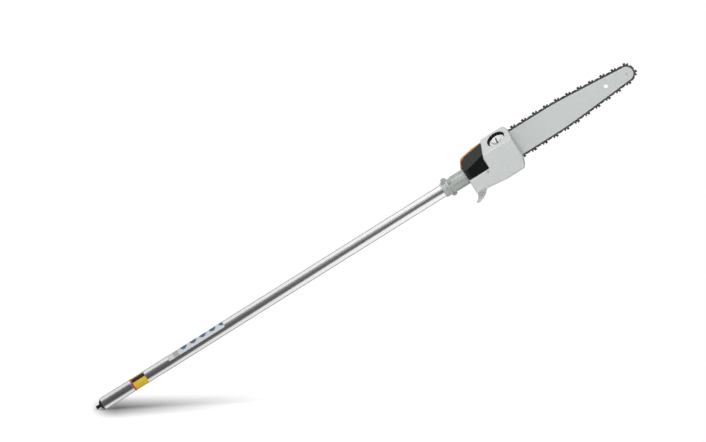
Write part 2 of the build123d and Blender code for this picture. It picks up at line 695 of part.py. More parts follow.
def tank_outline(inset):
    """Outline of the tank seen from the side, drawn in by an inset."""
    points = [
        (APRON_REAR, APRON_TOP),
        (SEAM, APRON_TOP),
        (SEAM, SEAM_BEND),
        (SEAM + (TANK_TOP - SEAM_BEND) * SEAM_LEAN, TANK_TOP),
        (TANK_BROW_X, TANK_TOP),
        (TANK_FRONT, TANK_BROW),
        (TANK_FRONT, TANK_CHIN),
        (TANK_CHIN_X, -TANK_TOP),
        (KEEL_X, -TANK_TOP),
        (0.0, APRON_KEEL),
        (APRON_REAR, APRON_LOW),
    ]
    face = outline(points, [1.5, 2.0, 12.0, 4.0, 6.0, 14.0, 20.0, 5.0, 20.0, 20.0, 2.0])
    if inset:
        face = offset(face, amount=-inset)
    return face


def branch_hook():
    """Hook below the tank that catches cut branches."""
    root_rear = (axis_x - 19.5, -30.0)
    tip_upper = (axis_x - 31.0, -54.0)
    tip_lower = (axis_x - 28.5, -56.5)
    root_front = (axis_x + 3.0, -38.0)
    rear = ThreePointArc(root_rear, (axis_x - 21.3, -43.5), tip_upper)
    front = ThreePointArc(tip_lower, (axis_x - 10.5, -50.5), root_front)
    edges = [rear, Line(tip_upper, tip_lower), front, Line(root_front, root_rear)]
    return slab(make_face(edges), HOOK_NEAR, HOOK_FAR)


def well_plane():
    """Plane of the tank's sloping top at the filler, with its normal along the cap axis."""
    normal = (0, -sin(slope_angle), cos(slope_angle))
    return Plane(origin=(axis_x + WELL_FROM_AXIS, WELL_Y, well_z), x_dir=(1, 0, 0), z_dir=normal)


def upright(radius, low, high):
    """Round bar on the cap axis."""
    return well_plane() * (Pos(0, 0, low) * Cylinder(radius, high - low, align=BASE))


def oil_tank():
    """Tank shell with its apron below the gear cover, the hook and the filler well."""
    shell = slab(tank_outline(0), TANK_NEAR, TANK_FAR)
    shell = shell - above_slope(TANK_NEAR, TANK_CREASE)
    near_face = shell.faces().sort_by(Axis.Y)[0]
    shell = fillet(near_face.edges(), TANK_EDGE_R)
    behind = block(axis_x - 30, axis_x + SEAM, TANK_NEAR + TANK_WALL, TANK_FAR + 5, APRON_SHELF, 0)
    shell = shell - behind
    shell = shell + branch_hook()

    hollow = slab(tank_outline(TANK_WALL), TANK_NEAR + TANK_WALL, TANK_FAR - TANK_WALL)
    lower = TANK_WALL / cos(slope_angle) - TANK_WALL * SLOPE
    hollow = hollow - above_slope(TANK_NEAR + TANK_WALL, TANK_CREASE - lower)
    shelf = APRON_SHELF - TANK_WALL
    hollow = hollow - block(axis_x - 40, axis_x + SEAM + TANK_WALL, -60, 60, shelf, 60)
    well_floor = -WELL_DEPTH - TANK_WALL
    hollow = hollow - upright(WELL_D / 2 + TANK_WALL, well_floor, 20)
    hollow = hollow - upright(NECK_BORE / 2 + NECK_WALL, well_floor - 3, 0)
    for x, z in pad_screw_centres():
        hollow = hollow - along_y(5.0, PAD_BACK - 12.0, TANK_FAR, x, z)
    shell = shell - hollow

    tank_x, tank_z = tank_screw_centre()
    shell = shell + along_y(LUG_D / 2, TANK_NEAR + 1, -18.0, tank_x, tank_z)
    behind = block(axis_x, axis_x + TANK_FRONT, TANK_FAR - TANK_WALL, TANK_FAR + WELL_BULGE, 0, TANK_TOP)
    shell = shell + (upright(WELL_D / 2 + WELL_RIM, well_floor, -1.0) & behind)
    well = upright(WELL_D / 2, -WELL_DEPTH, 20) - upright(NECK_BORE / 2 + NECK_WALL, -WELL_DEPTH, NECK_TOP)
    shell = shell - well - upright(NECK_BORE / 2, well_floor - 4, 10)
    shell = shell - along_x(HOSE_D / 2, axis_x + SEAM - 5, axis_x + SEAM + 6, 0, pump_z)
    shell = shell - along_x(3.0, axis_x + SEAM - 5, axis_x + SEAM + 6, 4.0, VENT_Z)
    for screw in tank_screws():
        shell = shell - screw
    return shell


def tank_fittings():
    """Filler liner, cap, cap seal and vent."""
    liner_r = WELL_D / 2 - SLIDE
    liner = upright(liner_r, -WELL_DEPTH, -0.3) - upright(liner_r - LINER_WALL, -WELL_DEPTH - 1, 1)
    liner = liner - well_plane() * Pos(0, LINER_END - WELL_D, 0) * Box(WELL_D * 2, WELL_D * 2, WELL_D * 2)
    seal_top = NECK_TOP + SEAL_THICKNESS
    flange_top = seal_top + CAP_FLANGE
    seal = upright(NECK_BORE / 2 + NECK_WALL, NECK_TOP, seal_top)
    seal = seal - upright(NECK_BORE / 2 - SLIDE, NECK_TOP, seal_top)
    cap = upright(CAP_D / 2, seal_top, flange_top)
    cap = cap + upright(CAP_BOSS_D / 2, flange_top, flange_top + CAP_BOSS)
    cap = cap + upright(NECK_BORE / 2 - 0.25, seal_top - CAP_SPIGOT, seal_top)
    slot = Pos(0, -4.0, flange_top + 0.8) * Box(CAP_SLOT, CAP_BOSS_D, CAP_BOSS, align=BASE)
    cap = cap - well_plane() * slot
    vent = along_x(3.0, axis_x + SEAM - 1.0, axis_x + SEAM + TANK_WALL + 2, 4.0, VENT_Z)
    vent = vent + along_x(3.8, axis_x + SEAM - 2.2, axis_x + SEAM, 4.0, VENT_Z)
    return {"filler_shroud": liner, "cap_seal": seal, "filler_cap": cap, "tank_vent": vent}


def gear_cover():
    """Black shell over the gear chamber, open below, behind and toward the tank."""
    right = SEAM - FREE
    points = [
        (COVER_REAR, COVER_LOW),
        (right, COVER_LOW),
        (right, SEAM_BEND),
        (right + (COVER_TOP - SEAM_BEND) * SEAM_LEAN, COVER_TOP),
        (COVER_REAR + COVER_BROW_X, COVER_BROW),
        (COVER_REAR, COVER_SHOULDER),
    ]
    corner = (axis_x + COVER_REAR + COVER_CORNER_X, COVER_NEAR, COVER_CREASE)
    top = Plane(origin=corner, z_dir=(-COVER_RISE, -SLOPE, 1))
    slant = Plane(origin=corner, z_dir=(-COVER_CORNER_Y, -COVER_CORNER_X, 0))
    cover = slab(outline(points, [2.5, 2.5, 12.0, 2.0, 10.0, 6.0]), COVER_NEAR, COVER_FAR)
    cover = cover - beyond(top) - beyond(slant)
    near_face = cover.faces().sort_by(Axis.Y)[0]
    crease = near_face.edges().sort_by(Axis.Z)[-1]
    cover = fillet(crease, COVER_EDGE_R)

    left = COVER_REAR + COVER_WALL
    front = SEAM * 2
    inside = [
        (left, -front),
        (front, -front),
        (front, COVER_TOP + 0.4),
        (COVER_REAR + COVER_BROW_X + 1.0, COVER_BROW - COVER_WALL),
        (left, COVER_SHOULDER - 0.7),
    ]
    hollow = slab(outline(inside, [0, 0, 0, 9.0, 5.0]), COVER_NEAR + COVER_WALL, COVER_FAR + 5)
    hollow = hollow - beyond(top.offset(-COVER_WALL)) - beyond(slant.offset(-COVER_WALL))
    cover = cover - hollow
    cover = cover + along_y(5.0, COVER_NEAR + COVER_WALL / 2, LID_NEAR, axis_x, 0)
    return cover - along_x(neck_r + NECK_RIB_HEIGHT + FREE, axis_x - 40, axis_x - 8)


def sprocket_cover():
    """Orange cover on the far side, open toward the head and at the front for the bar."""
    points = [
        (SIDE_REAR, SIDE_REAR_LOW),
        (SIDE_REAR, SIDE_REAR_HIGH),
        (SIDE_SHOULDER_X, SIDE_SHOULDER),
        (SIDE_BROW_X, SIDE_BROW),
        (SIDE_TOP_X, SIDE_TOP),
        (SIDE_LOW_X, SIDE_LOW),
        (SIDE_KEEL_X, SIDE_KEEL),
        (SIDE_KEEL_X, SIDE_HEEL),
    ]
    face = outline(points, [12.0, 12.0, 12.0, 60.0, 6.0, 8.0, 8.0, 6.0])
    shell = slab(face, SPROCKET_COVER_NEAR, SPROCKET_COVER_FAR)
    far_face = shell.faces().sort_by(Axis.Y)[-1]
    shell = fillet(far_face.edges(), SIDE_EDGE_R)
    hollow = offset(face, amount=-SPROCKET_COVER_WALL)
    shell = shell - slab(hollow, SPROCKET_COVER_NEAR - 1, SPROCKET_COVER_FAR - SPROCKET_COVER_WALL)
    mouth = BAR_HALF + RAIL_OFFSET + CUTTER_HEIGHT + 2.5
    shell = shell - block(axis_x + 60, axis_x + 90, SPROCKET_COVER_NEAR - 1, bar_far + 6, -mouth, mouth)
    boss = along_y(9.0, bar_far + RUN, SPROCKET_COVER_FAR - 1, stud_x)
    return shell + boss - along_y(STUD_D / 2 + RUN, bar_far - 1, SPROCKET_COVER_FAR + 1, stud_x)


def bar_fixings():
    """Wear plate, stud, washer and nut that hold the bar and its cover."""
    face = rectangle(WEAR_REAR, PAD_FRONT, WEAR_HALF, [WEAR_CORNER_R] * 4)
    plate = slab(face, pad_face, pad_face + WEAR_PLATE)
    plate = plate - along_y(STUD_D / 2, pad_face - 1, bar_near, stud_x) - tension_pocket(bar_near)
    washer_far = SPROCKET_COVER_FAR + 1.6
    nut_far = washer_far + NUT_HEIGHT
    stud = along_y(STUD_D / 2, PAD_BACK, nut_far + 2.0, stud_x)
    washer = along_y(8.0, SPROCKET_COVER_FAR, washer_far, stud_x)
    washer = washer - along_y(STUD_D / 2, SPROCKET_COVER_FAR - 1, washer_far + 1, stud_x)
    nut = hexagon(NUT_FLATS, washer_far, nut_far, stud_x, 0)
    nut = nut - along_y(STUD_D / 2, washer_far - 1, nut_far + 1, stud_x)
    return {"bar_plate": plate, "bar_stud": stud, "cover_washer": washer, "cover_nut": nut}


def rail_corners(rise, x_nose):
    """Corners of the bar's edge moved outward by a rise: heel and taper, and where both pairs meet."""
    half = BAR_HALF + rise
    heel_apex = axis_x - sprocket_pitch_r / sin(HEEL_ANGLE) - (rise - RAIL_OFFSET) / sin(HEEL_ANGLE)
    nose_apex = x_nose + nose_pitch_r / sin(TAPER_ANGLE) + (rise - RAIL_OFFSET) / sin(TAPER_ANGLE)
    heel_x = heel_apex + half / tan(HEEL_ANGLE)
    taper_x = nose_apex - half / tan(TAPER_ANGLE)
    return half, heel_apex, heel_x, taper_x, nose_apex


def chain_loop(x_nose):
    """Line through the rivets, round the sprocket, along the bar and round its nose."""
    half, heel_apex, heel_x, taper_x, nose_apex = rail_corners(RAIL_OFFSET, x_nose)
    upper = [(heel_apex, 0), (heel_x, half), (taper_x, half)]
    points = upper + [(nose_apex, 0), (taper_x, -half), (heel_x, -half)]
    heel = HEEL_RADIUS + RAIL_OFFSET
    taper = TAPER_RADIUS + RAIL_OFFSET
    radii = [sprocket_pitch_r, heel, taper, nose_pitch_r, taper, heel]
    return FilletPolyline(*points, radius=radii, close=True)


def nose_position():
    """Where the nose must stand for the loop to hold a whole number of links."""
    guess = axis_x + 350.0
    return guess + (2 * DRIVE_LINKS * RIVET_PITCH - chain_loop(guess).length) / 2


def bar_outline(x_nose):
    """Outline of the bar plates."""
    half, heel_apex, heel_x, taper_x, nose_apex = rail_corners(0.0, x_nose)
    tail_x = axis_x + rim_r + BAR_TRAVEL + 1.5
    tail = (tail_x - heel_apex) * tan(HEEL_ANGLE)
    points = [
        (tail_x, tail),
        (heel_x, half),
        (taper_x, half),
        (nose_apex, 0),
        (taper_x, -half),
        (heel_x, -half),
        (tail_x, -tail),
    ]
    nose = nose_pitch_r - RAIL_OFFSET
    radii = [4.0, HEEL_RADIUS, TAPER_RADIUS, nose, TAPER_RADIUS, HEEL_RADIUS, 4.0]
    return make_face(FilletPolyline(*points, radius=radii, close=True))


def bar_cutters(x_nose, near, far):
    """What is cut through the bar: stud slot, peg hole and hanging hole."""
    half = STUD_D / 2 + SLIDE
    slot = block(stud_x - 6, stud_x + BAR_TRAVEL + 6, near, far, -half, half)
    slot = slot + along_y(half, near, far, stud_x - 6) + along_y(half, near, far, stud_x + BAR_TRAVEL + 6)
    peg = along_y(PEG_D / 2 + RUN, near, far, peg_x, -PEG_BELOW)
    return slot + peg + along_y(HANG_HOLE_D / 2, near, far, x_nose - HANG_HOLE_FROM_NOSE)


def nose_rivet_centres(x_nose):
    """Rivets of the nose hub."""
    return [(x_nose + 1.7 * cos(2 * pi * k / 3), 1.7 * sin(2 * pi * k / 3)) for k in range(3)]


def guide_bar(x_nose):
    """Side plates, core and nose of the bar, with the star that turns in the nose."""
    face = bar_outline(x_nose)
    groove_near = BAR_Y - GROOVE_WIDTH / 2
    groove_far = BAR_Y + GROOVE_WIDTH / 2
    rivets = [along_y(0.8, bar_near, bar_far, x, z) for x, z in nose_rivet_centres(x_nose)]
    plates = []
    for near, far in ((bar_near, groove_near), (groove_far, bar_far)):
        plate = slab(face, near, far) - bar_cutters(x_nose, near - 1, far + 1)
        for rivet in rivets:
            plate = plate - rivet
        plates.append(plate)
    star_r = nose_pitch_r - tang_clear_r
    core = slab(offset(face, amount=-GROOVE_DEPTH), groove_near, groove_far)
    core = core - bar_cutters(x_nose, groove_near - 1, groove_far + 1)
    core = core - along_y(star_r + 0.8, groove_near - 1, groove_far + 1, x_nose)
    core = core - block(x_nose, x_nose + 60, groove_near - 1, groove_far + 1, -30, 30)
    hub_r = 3.1
    hub = along_y(hub_r, groove_near, groove_far, x_nose)
    for rivet in rivets:
        hub = hub - rivet
    points = []
    for tooth in range(NOSE_TEETH):
        middle = 2 * pi * tooth / NOSE_TEETH
        for radius, side in ((star_r - 2.2, -0.28), (star_r, -0.07), (star_r, 0.07), (star_r - 2.2, 0.28)):
            points.append((x_nose + radius * cos(middle + side), radius * sin(middle + side)))
    star = slab(polygon(points), groove_near + SLIDE, groove_far - SLIDE)
    star = star - along_y(hub_r + RUN, groove_near, groove_far, x_nose)
    return {
        "bar_side_plates": group(plates),
        "bar_core": core,
        "nose_hub": hub,
        "nose_rivets": group(rivets),
        "nose_star": star,
    }


def tensioner():
    """Block with the peg that moves the bar, and the screw that moves the block."""
    half = BLOCK_LENGTH / 2
    rise = BLOCK_HEIGHT / 2
    low, high = -PEG_BELOW - rise, -PEG_BELOW + rise
    tension = block(peg_x - half, peg_x + half, PAD_BACK + 1 + SLIDE, pad_face - 0.3, low, high)
    tension = tension + along_y(PEG_D / 2, pad_face - 1, bar_far, peg_x, -PEG_BELOW)
    screw_r = TENSION_SCREW_D / 2
    tension = tension - along_x(screw_r + RUN, peg_x - 30, peg_x + 30, TENSION_SCREW_Y, -PEG_BELOW)
    front = axis_x + PAD_FRONT + SLIDE
    screw = along_x(screw_r, peg_x - 17, front, TENSION_SCREW_Y, -PEG_BELOW)
    screw = screw + along_x(3.7, front, front + 3.0, TENSION_SCREW_Y, -PEG_BELOW)
    near, far = TENSION_SCREW_Y - 5, TENSION_SCREW_Y + 5
    slot = block(front + 1.5, front + 4.0, near, far, -PEG_BELOW - 0.6, -PEG_BELOW + 0.6)
    return {"tensioner_block": tension, "tension_screw": screw - slot}


def link_body(sag):
    """Side outline of a link about its middle, with a waist of the given depth below."""
    half = RIVET_PITCH / 2
    top = Line((-half, LINK_END_R), (half, LINK_END_R))
    front = ThreePointArc((half, LINK_END_R), (half + LINK_END_R, 0), (half, -LINK_END_R))
    waist = ThreePointArc((half, -LINK_END_R), (0, sag - LINK_END_R), (-half, -LINK_END_R))
    back = ThreePointArc((-half, -LINK_END_R), (-half - LINK_END_R, 0), (-half, LINK_END_R))
    return make_face([top, front, waist, back])


def link_slab(face, near, far):
    """Link plate drawn in X and Z with its two rivet holes."""
    plate = slab(face, near, far)
    for x in (-RIVET_PITCH / 2, RIVET_PITCH / 2):
        plate = plate - along_y(RIVET_D / 2 + SLIDE, near - 1, far + 1, x)
    return plate


def drive_link():
    """Link whose tang runs in the groove of the bar."""
    low = -RAIL_OFFSET - TANG_DEPTH
    tang = polygon([(-4.3, -1.0), (-1.2, low), (2.4, low), (3.9, -1.0)])
    half = DRIVE_LINK_GAUGE / 2
    return link_slab(link_body(-DRIVE_LINK_BELLY) + tang, -half, half)


def tie_strap(side):
    """Plain side link."""
    near, far = sorted((side * strap_y, side * (strap_y + STRAP_GAUGE)))
    return link_slab(link_body(LINK_WAIST), near, far)


def cutter(side):
    """Cutting link: base plate, depth gauge ahead and hooked tooth behind."""
    gauge = DEPTH_GAUGE_HEIGHT
    heel = (-5.6, CUTTER_HEIGHT - 0.8)
    point = (-1.0, CUTTER_HEIGHT)
    gullet = (-1.6, 2.9)
    gauge_points = [(1.6, 0.5), (2.8, gauge - 0.6), (4.2, gauge), (5.6, gauge - 1.4), (5.0, 0.5)]
    side_points = [(-5.2, 0.5), heel, point, gullet, (-0.4, 0.5)]
    wall_points = [(-5.4, 2.4), heel, point, gullet, (-1.5, 2.4)]
    top_points = [heel, point, (-1.2, CUTTER_HEIGHT - 0.8), (-5.5, CUTTER_HEIGHT - 1.6)]
    inner = strap_y + STRAP_GAUGE
    outer = inner + CUTTER_SET
    near, far = sorted((side * strap_y, side * inner))
    base = link_slab(link_body(LINK_WAIST) + polygon(gauge_points) + polygon(side_points), near, far)
    near, far = sorted((side * (inner - 0.1), side * outer))
    base = base + slab(polygon(wall_points), near, far)
    near, far = sorted((-side * 0.5, side * outer))
    return base + slab(polygon(top_points), near, far)


def chain_rivet():
    """Rivet through three plates with a head on each side."""
    reach = strap_y + STRAP_GAUGE
    rivet = along_y(RIVET_D / 2, -reach, reach)
    for start in (-reach - RIVET_HEAD, reach):
        rivet = rivet + along_y(RIVET_HEAD_D / 2, start, start + RIVET_HEAD)
    return rivet


def saw_chain(x_nose):
    """All links of the chain on their loop; the top run moves toward the nose."""
    loop = chain_loop(x_nose)
    count = 2 * DRIVE_LINKS
    spots = [loop.position_at(index / count) for index in range(count)]
    ahead = 1 if spots[2].Y > spots[0].Y else -1
    spots = spots if ahead > 0 else spots[::-1]

    def between(first, second):
        start, end = spots[first % count], spots[second % count]
        middle = (start + end) / 2
        along = (end - start).normalized()
        plane = Plane(
            origin=(middle.X, BAR_Y, middle.Y),
            x_dir=(along.X, 0, along.Y),
            z_dir=(-along.Y, 0, along.X),
        )
        return plane.location

    link, straps = drive_link(), {side: tie_strap(side) for side in (-1, 1)}
    teeth = {side: cutter(side) for side in (-1, 1)}
    nodes = {name: [] for name in ("drive_links", "tie_straps", "left_cutters", "right_cutters", "rivets")}
    for index in range(DRIVE_LINKS):
        nodes["drive_links"].append(between(2 * index, 2 * index + 1) * link)
        place = between(2 * index + 1, 2 * index + 2)
        toothed = {0: -1, 2: 1}.get(index % 4)
        for side in (-1, 1):
            if side == toothed:
                nodes["left_cutters" if side < 0 else "right_cutters"].append(place * teeth[side])
            else:
                nodes["tie_straps"].append(place * straps[side])
    rivet = chain_rivet()
    nodes["rivets"] = [Pos(spot.X, BAR_Y, spot.Y) * rivet for spot in spots]
    return {"chain_" + name: group(shapes) for name, shapes in nodes.items()}


def all_pieces():
    """Every node of the assembly by name."""
    x_nose = nose_position()
    pieces = {
        "gear_housing": gear_housing(),
        "chamber_lid": chamber_lid(),
        "clamp_screws": group(clamp_screws()),
        "lid_screws": group(lid_screws()),
        "tank_screws": group(tank_screws()),
        "oil_tank": oil_tank(),
        "gear_cover": gear_cover(),
        "sprocket_cover": sprocket_cover(),
    }
    for made in (tube_pieces(), drive_line(), bearings(), output_line(), oil_pump()):
        pieces.update(made)
    for made in (tank_fittings(), bar_fixings(), tensioner(), guide_bar(x_nose), saw_chain(x_nose)):
        pieces.update(made)
    return pieces


os.makedirs("parts", exist_ok=True)
for name, shape in all_pieces().items():
    export_step(shape, f"parts/{name}.step")
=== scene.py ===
"""Looks of a pole saw attachment: finishes, finer shapes, floor, light and camera.

Metres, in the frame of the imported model. X runs along the tube from its coupling end to the bar
nose, Z is up in the plane of the bar, and the side with the oil tank faces -Y.
"""

import json
import logging
import math
from dataclasses import dataclass, field
from enum import Enum
from typing import Callable, Sequence

import bmesh
import bpy
from mathutils import Matrix, Vector


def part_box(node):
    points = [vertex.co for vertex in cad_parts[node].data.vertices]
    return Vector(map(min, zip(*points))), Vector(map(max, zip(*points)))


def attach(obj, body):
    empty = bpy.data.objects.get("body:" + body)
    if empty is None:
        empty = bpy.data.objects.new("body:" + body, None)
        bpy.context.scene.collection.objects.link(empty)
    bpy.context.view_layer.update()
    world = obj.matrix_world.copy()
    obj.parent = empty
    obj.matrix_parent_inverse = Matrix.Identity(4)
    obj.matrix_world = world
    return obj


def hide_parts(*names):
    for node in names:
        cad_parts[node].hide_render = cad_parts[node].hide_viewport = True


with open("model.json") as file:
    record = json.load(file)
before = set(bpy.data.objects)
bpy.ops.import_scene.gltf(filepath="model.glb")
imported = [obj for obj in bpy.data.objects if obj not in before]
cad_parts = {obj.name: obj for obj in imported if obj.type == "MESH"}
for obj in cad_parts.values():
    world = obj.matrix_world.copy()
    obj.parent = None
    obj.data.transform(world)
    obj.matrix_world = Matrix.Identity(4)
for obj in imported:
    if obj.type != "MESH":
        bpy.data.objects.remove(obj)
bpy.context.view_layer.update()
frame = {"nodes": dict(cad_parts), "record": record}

MM = 0.001
MERGE = 1e-7
WELD = 1e-6
SMOOTH_ANGLE = math.radians(32)
LOG = logging.getLogger("pole_saw")

Colour = tuple[float, float, float]
Outline = list[tuple[float, float]]
Socket = bpy.types.NodeSocket


class Texture(Enum):
    """How a surface was made, which sets the run of its fine relief."""

    MOULDED = "moulded grain"
    DRAWN = "drawn lines"


class NodeSheet:
    """Node tree that takes a node, its settings and its inputs in one call."""

    def __init__(self, tree: bpy.types.NodeTree) -> None:
        """Holds the tree."""
        self.tree = tree

    def add(self, kind: str, inputs: dict | None = None, **settings) -> bpy.types.Node:
        """Adds one node.

        Args:
            kind: Blender's type name of the node.
            inputs: Value or linked socket for each named input.
            **settings: Properties of the node itself.

        Returns:
            The new node.
        """
        node = self.tree.nodes.new(kind)
        for name, value in settings.items():
            setattr(node, name, value)
        for key, value in (inputs or {}).items():
            if isinstance(value, Socket):
                self.link(value, node.inputs[key])
            else:
                node.inputs[key].default_value = value
        return node

    def link(self, source: Socket, target: Socket) -> None:
        """Links an output to an input."""
        self.tree.links.new(source, target)

    def math(self, operation: str, first, second, clamp: bool = False) -> Socket:
        """Adds a Math node and returns its output."""
        values = {0: first, 1: second}
        return self.add("ShaderNodeMath", values, operation=operation, use_clamp=clamp).outputs[0]

    def scaled(self, vector: Socket, gain: Socket) -> Socket:
        """Adds a node that multiplies a colour or vector by a value and returns its output."""
        node = self.add("ShaderNodeVectorMath", {0: vector, "Scale": gain}, operation="SCALE")
        return node.outputs["Vector"]

    def dot(self, first, second) -> Socket:
        """Adds a node for the dot product of two vectors and returns its output."""
        values = {0: first, 1: second}
        return self.add("ShaderNodeVectorMath", values, operation="DOT_PRODUCT").outputs["Value"]

    def swing(self, noise: Socket, amount, middle) -> Socket:
        """Turns a noise of 0 to 1 into a swing round a middle value and returns its socket."""
        centred = self.math("SUBTRACT", noise, 0.5)
        return self.math("ADD", self.math("MULTIPLY", centred, amount), middle)

    def ramp(self, value: Socket, start: float, end: float, curve: str = "SMOOTHSTEP") -> Socket:
        """Adds a ramp from 0 to 1 between two values and returns its output."""
        values = {"Value": value, "From Min": start, "From Max": end}
        return self.add("ShaderNodeMapRange", values, interpolation_type=curve).outputs["Result"]

    def noise(self, place: Socket, scale, detail: float) -> Socket:
        """Adds a noise and returns its value."""
        values = {"Vector": place, "Scale": scale, "Detail": detail}
        return self.add("ShaderNodeTexNoise", values).outputs["Fac"]

    def place(self) -> Socket:
        """Adds the piece's own coordinates and returns their socket."""
        return self.add("ShaderNodeTexCoord").outputs["Object"]

    def mix(self, mask: Socket, under: Socket, over: Colour) -> Socket:
        """Lays a plain colour over another one where a mask is high and returns the socket."""
        values = {"Factor": mask, "A": under, "B": (*over, 1.0)}
        return self.add("ShaderNodeMix", values, data_type="RGBA").outputs["Result"]


def start_tree(kind: str, name: str, inputs: dict[str, str], outputs: dict[str, str]) -> tuple:
    """Starts a node group with named sockets.

    Args:
        kind: Blender's type name of the tree.
        name: Name of the group.
        inputs: Kind of each named input, such as Float or Color.
        outputs: Kind of each named output.

    Returns:
        The sheet, the sockets of its input node and those of its output node.
    """
    tree = bpy.data.node_groups.new(name, kind)
    for way, sockets in (("INPUT", inputs), ("OUTPUT", outputs)):
        for label, socket in sockets.items():
            tree.interface.new_socket(label, in_out=way, socket_type="NodeSocket" + socket)
    sheet = NodeSheet(tree)
    return sheet, sheet.add("NodeGroupInput").outputs, sheet.add("NodeGroupOutput").inputs


class Effects:
    """Shader node groups that several finishes share, each built once."""

    slow_share = 0.07
    rub_scale = 260.0
    bevel_samples = 12
    drawn_out = (0.012, 1.0, 1.0)

    def __init__(self) -> None:
        """Builds the groups."""
        self.mottle = self._mottle()
        self.grain = self._relief("moulded_grain", (1.0, 1.0, 1.0))
        self.drawn = self._relief("drawn_lines", self.drawn_out)
        self.edge = self._edge()

    def _mottle(self) -> bpy.types.NodeTree:
        """Builds the slow change of colour over a surface."""
        sheet, given, result = start_tree(
            "ShaderNodeTree",
            "slow_mottle",
            {"Colour": "Color", "Amount": "Float", "Scale": "Float"},
            {"Colour": "Color"},
        )
        noise = sheet.noise(sheet.place(), given["Scale"], 3.0)
        gain = sheet.swing(noise, given["Amount"], 1.0)
        sheet.link(sheet.scaled(given["Colour"], gain), result["Colour"])
        return sheet.tree

    def _relief(self, name: str, stretch: Colour) -> bpy.types.NodeTree:
        """Builds fine relief with the roughness that goes with it.

        Args:
            name: Name of the group.
            stretch: Scale of the pattern along each axis; a small value draws it out.

        Returns:
            The group.
        """
        sheet, given, result = start_tree(
            "ShaderNodeTree",
            name,
            {"Scale": "Float", "Roughness": "Float", "Spread": "Float"},
            {"Height": "Float", "Roughness": "Float"},
        )
        drawn = sheet.add("ShaderNodeMapping", {"Vector": sheet.place(), "Scale": stretch})
        place = drawn.outputs["Vector"]
        sheet.link(sheet.noise(place, given["Scale"], 4.0), result["Height"])
        slow = sheet.noise(place, sheet.math("MULTIPLY", given["Scale"], self.slow_share), 2.0)
        sheet.link(sheet.swing(slow, given["Spread"], given["Roughness"]), result["Roughness"])
        return sheet.tree

    def _edge(self) -> bpy.types.NodeTree:
        """Builds the broken edge: a normal that rolls over it, and a mask of where it is rubbed."""
        sheet, given, result = start_tree(
            "ShaderNodeTree",
            "broken_edge",
            {"Radius": "Float", "Rub": "Float"},
            {"Normal": "Vector", "Mask": "Float"},
        )
        rolled = sheet.add(
            "ShaderNodeBevel", {"Radius": given["Radius"]}, samples=self.bevel_samples
        ).outputs["Normal"]
        true = sheet.add("ShaderNodeNewGeometry").outputs["Normal"]
        turned = sheet.math("SUBTRACT", 1.0, sheet.dot(rolled, true))
        worn = sheet.math("MULTIPLY", turned, sheet.noise(sheet.place(), self.rub_scale, 4.0))
        sheet.link(rolled, result["Normal"])
        sheet.link(sheet.math("MULTIPLY", worn, given["Rub"], clamp=True), result["Mask"])
        return sheet.tree


@dataclass(frozen=True)
class Finish:
    """One finish of the tool; lengths are in metres."""

    name: str
    colour: Colour
    roughness: float
    metallic: float = 0.0
    specular: float = 0.5
    mottle: float = 0.06
    mottle_scale: float = 30.0
    texture: Texture = Texture.MOULDED
    scale: float = 1400.0
    depth: float = 0.00002
    spread: float = 0.12
    edge: float = 0.0004
    rub: float = 0.0
    rubbed: Colour = (0.8, 0.8, 0.8)

    def material(self, effects: Effects) -> bpy.types.Material:
        """Builds the material.

        Args:
            effects: The shared node groups.

        Returns:
            A material with the finish's name.
        """
        made = bpy.data.materials.new(self.name)
        made.use_nodes = True
        made.diffuse_color = (*self.colour, 1.0)
        sheet = NodeSheet(made.node_tree)
        shader = made.node_tree.nodes["Principled BSDF"]
        shader.inputs["Metallic"].default_value = self.metallic
        shader.inputs["Specular IOR Level"].default_value = self.specular
        edge = sheet.add(
            "ShaderNodeGroup", {"Radius": self.edge, "Rub": self.rub}, node_tree=effects.edge
        ).outputs
        relief = sheet.add(
            "ShaderNodeGroup",
            {"Scale": self.scale, "Roughness": self.roughness, "Spread": self.spread},
            node_tree=effects.drawn if self.texture is Texture.DRAWN else effects.grain,
        ).outputs
        bump = sheet.add(
            "ShaderNodeBump",
            {"Height": relief["Height"], "Normal": edge["Normal"], "Distance": self.depth},
        )
        colour = self.tint(sheet, effects)
        if self.rub:
            colour = sheet.mix(edge["Mask"], colour, self.rubbed)
        sheet.link(colour, shader.inputs["Base Color"])
        sheet.link(relief["Roughness"], shader.inputs["Roughness"])
        sheet.link(bump.outputs["Normal"], shader.inputs["Normal"])
        return made

    def tint(self, sheet: NodeSheet, effects: Effects) -> Socket:
        """Adds the colour with its slow change over the surface and returns its socket."""
        return sheet.add(
            "ShaderNodeGroup",
            {
                "Colour": (*self.colour, 1.0),
                "Amount": self.mottle,
                "Scale": self.mottle_scale,
            },
            node_tree=effects.mottle,
        ).outputs["Colour"]


@dataclass(frozen=True)
class LinkFinish(Finish):
    """Finish of the chain, with a tone of its own on each link and bright ground faces."""

    ground: Colour = (0.62, 0.62, 0.63)
    tone: float = 0.6

    def tint(self, sheet: NodeSheet, effects: Effects) -> Socket:
        """Adds the colour, darker or lighter from link to link, and returns its socket."""
        tone, ground = (
            sheet.add("ShaderNodeAttribute", attribute_name=name).outputs["Fac"]
            for name in ("tone", "ground")
        )
        toned = sheet.scaled(super().tint(sheet, effects), sheet.swing(tone, self.tone, 1.0))
        return sheet.mix(ground, toned, self.ground)


@dataclass(frozen=True)
class TubeFinish(Finish):
    """Finish of the tube, with painted shade that darkens its colour towards its lower end."""

    # Painted shade: the colour that the lower end is darkened to, and how far up the tube the
    # darkening reaches.
    painted_shade_colour: Colour = (0.70, 0.705, 0.705)
    painted_shade_end: float = 0.75

    def tint(self, sheet: NodeSheet, effects: Effects) -> Socket:
        """Adds the colour, with painted shade that darkens it towards the lower end, and returns
        its socket.
        """
        along = sheet.dot(sheet.place(), (1.0, 0.0, 0.0))
        painted_shade_ramp = sheet.ramp(along, self.painted_shade_end, 0.0, "LINEAR")
        return sheet.mix(painted_shade_ramp, super().tint(sheet, effects), self.painted_shade_colour)


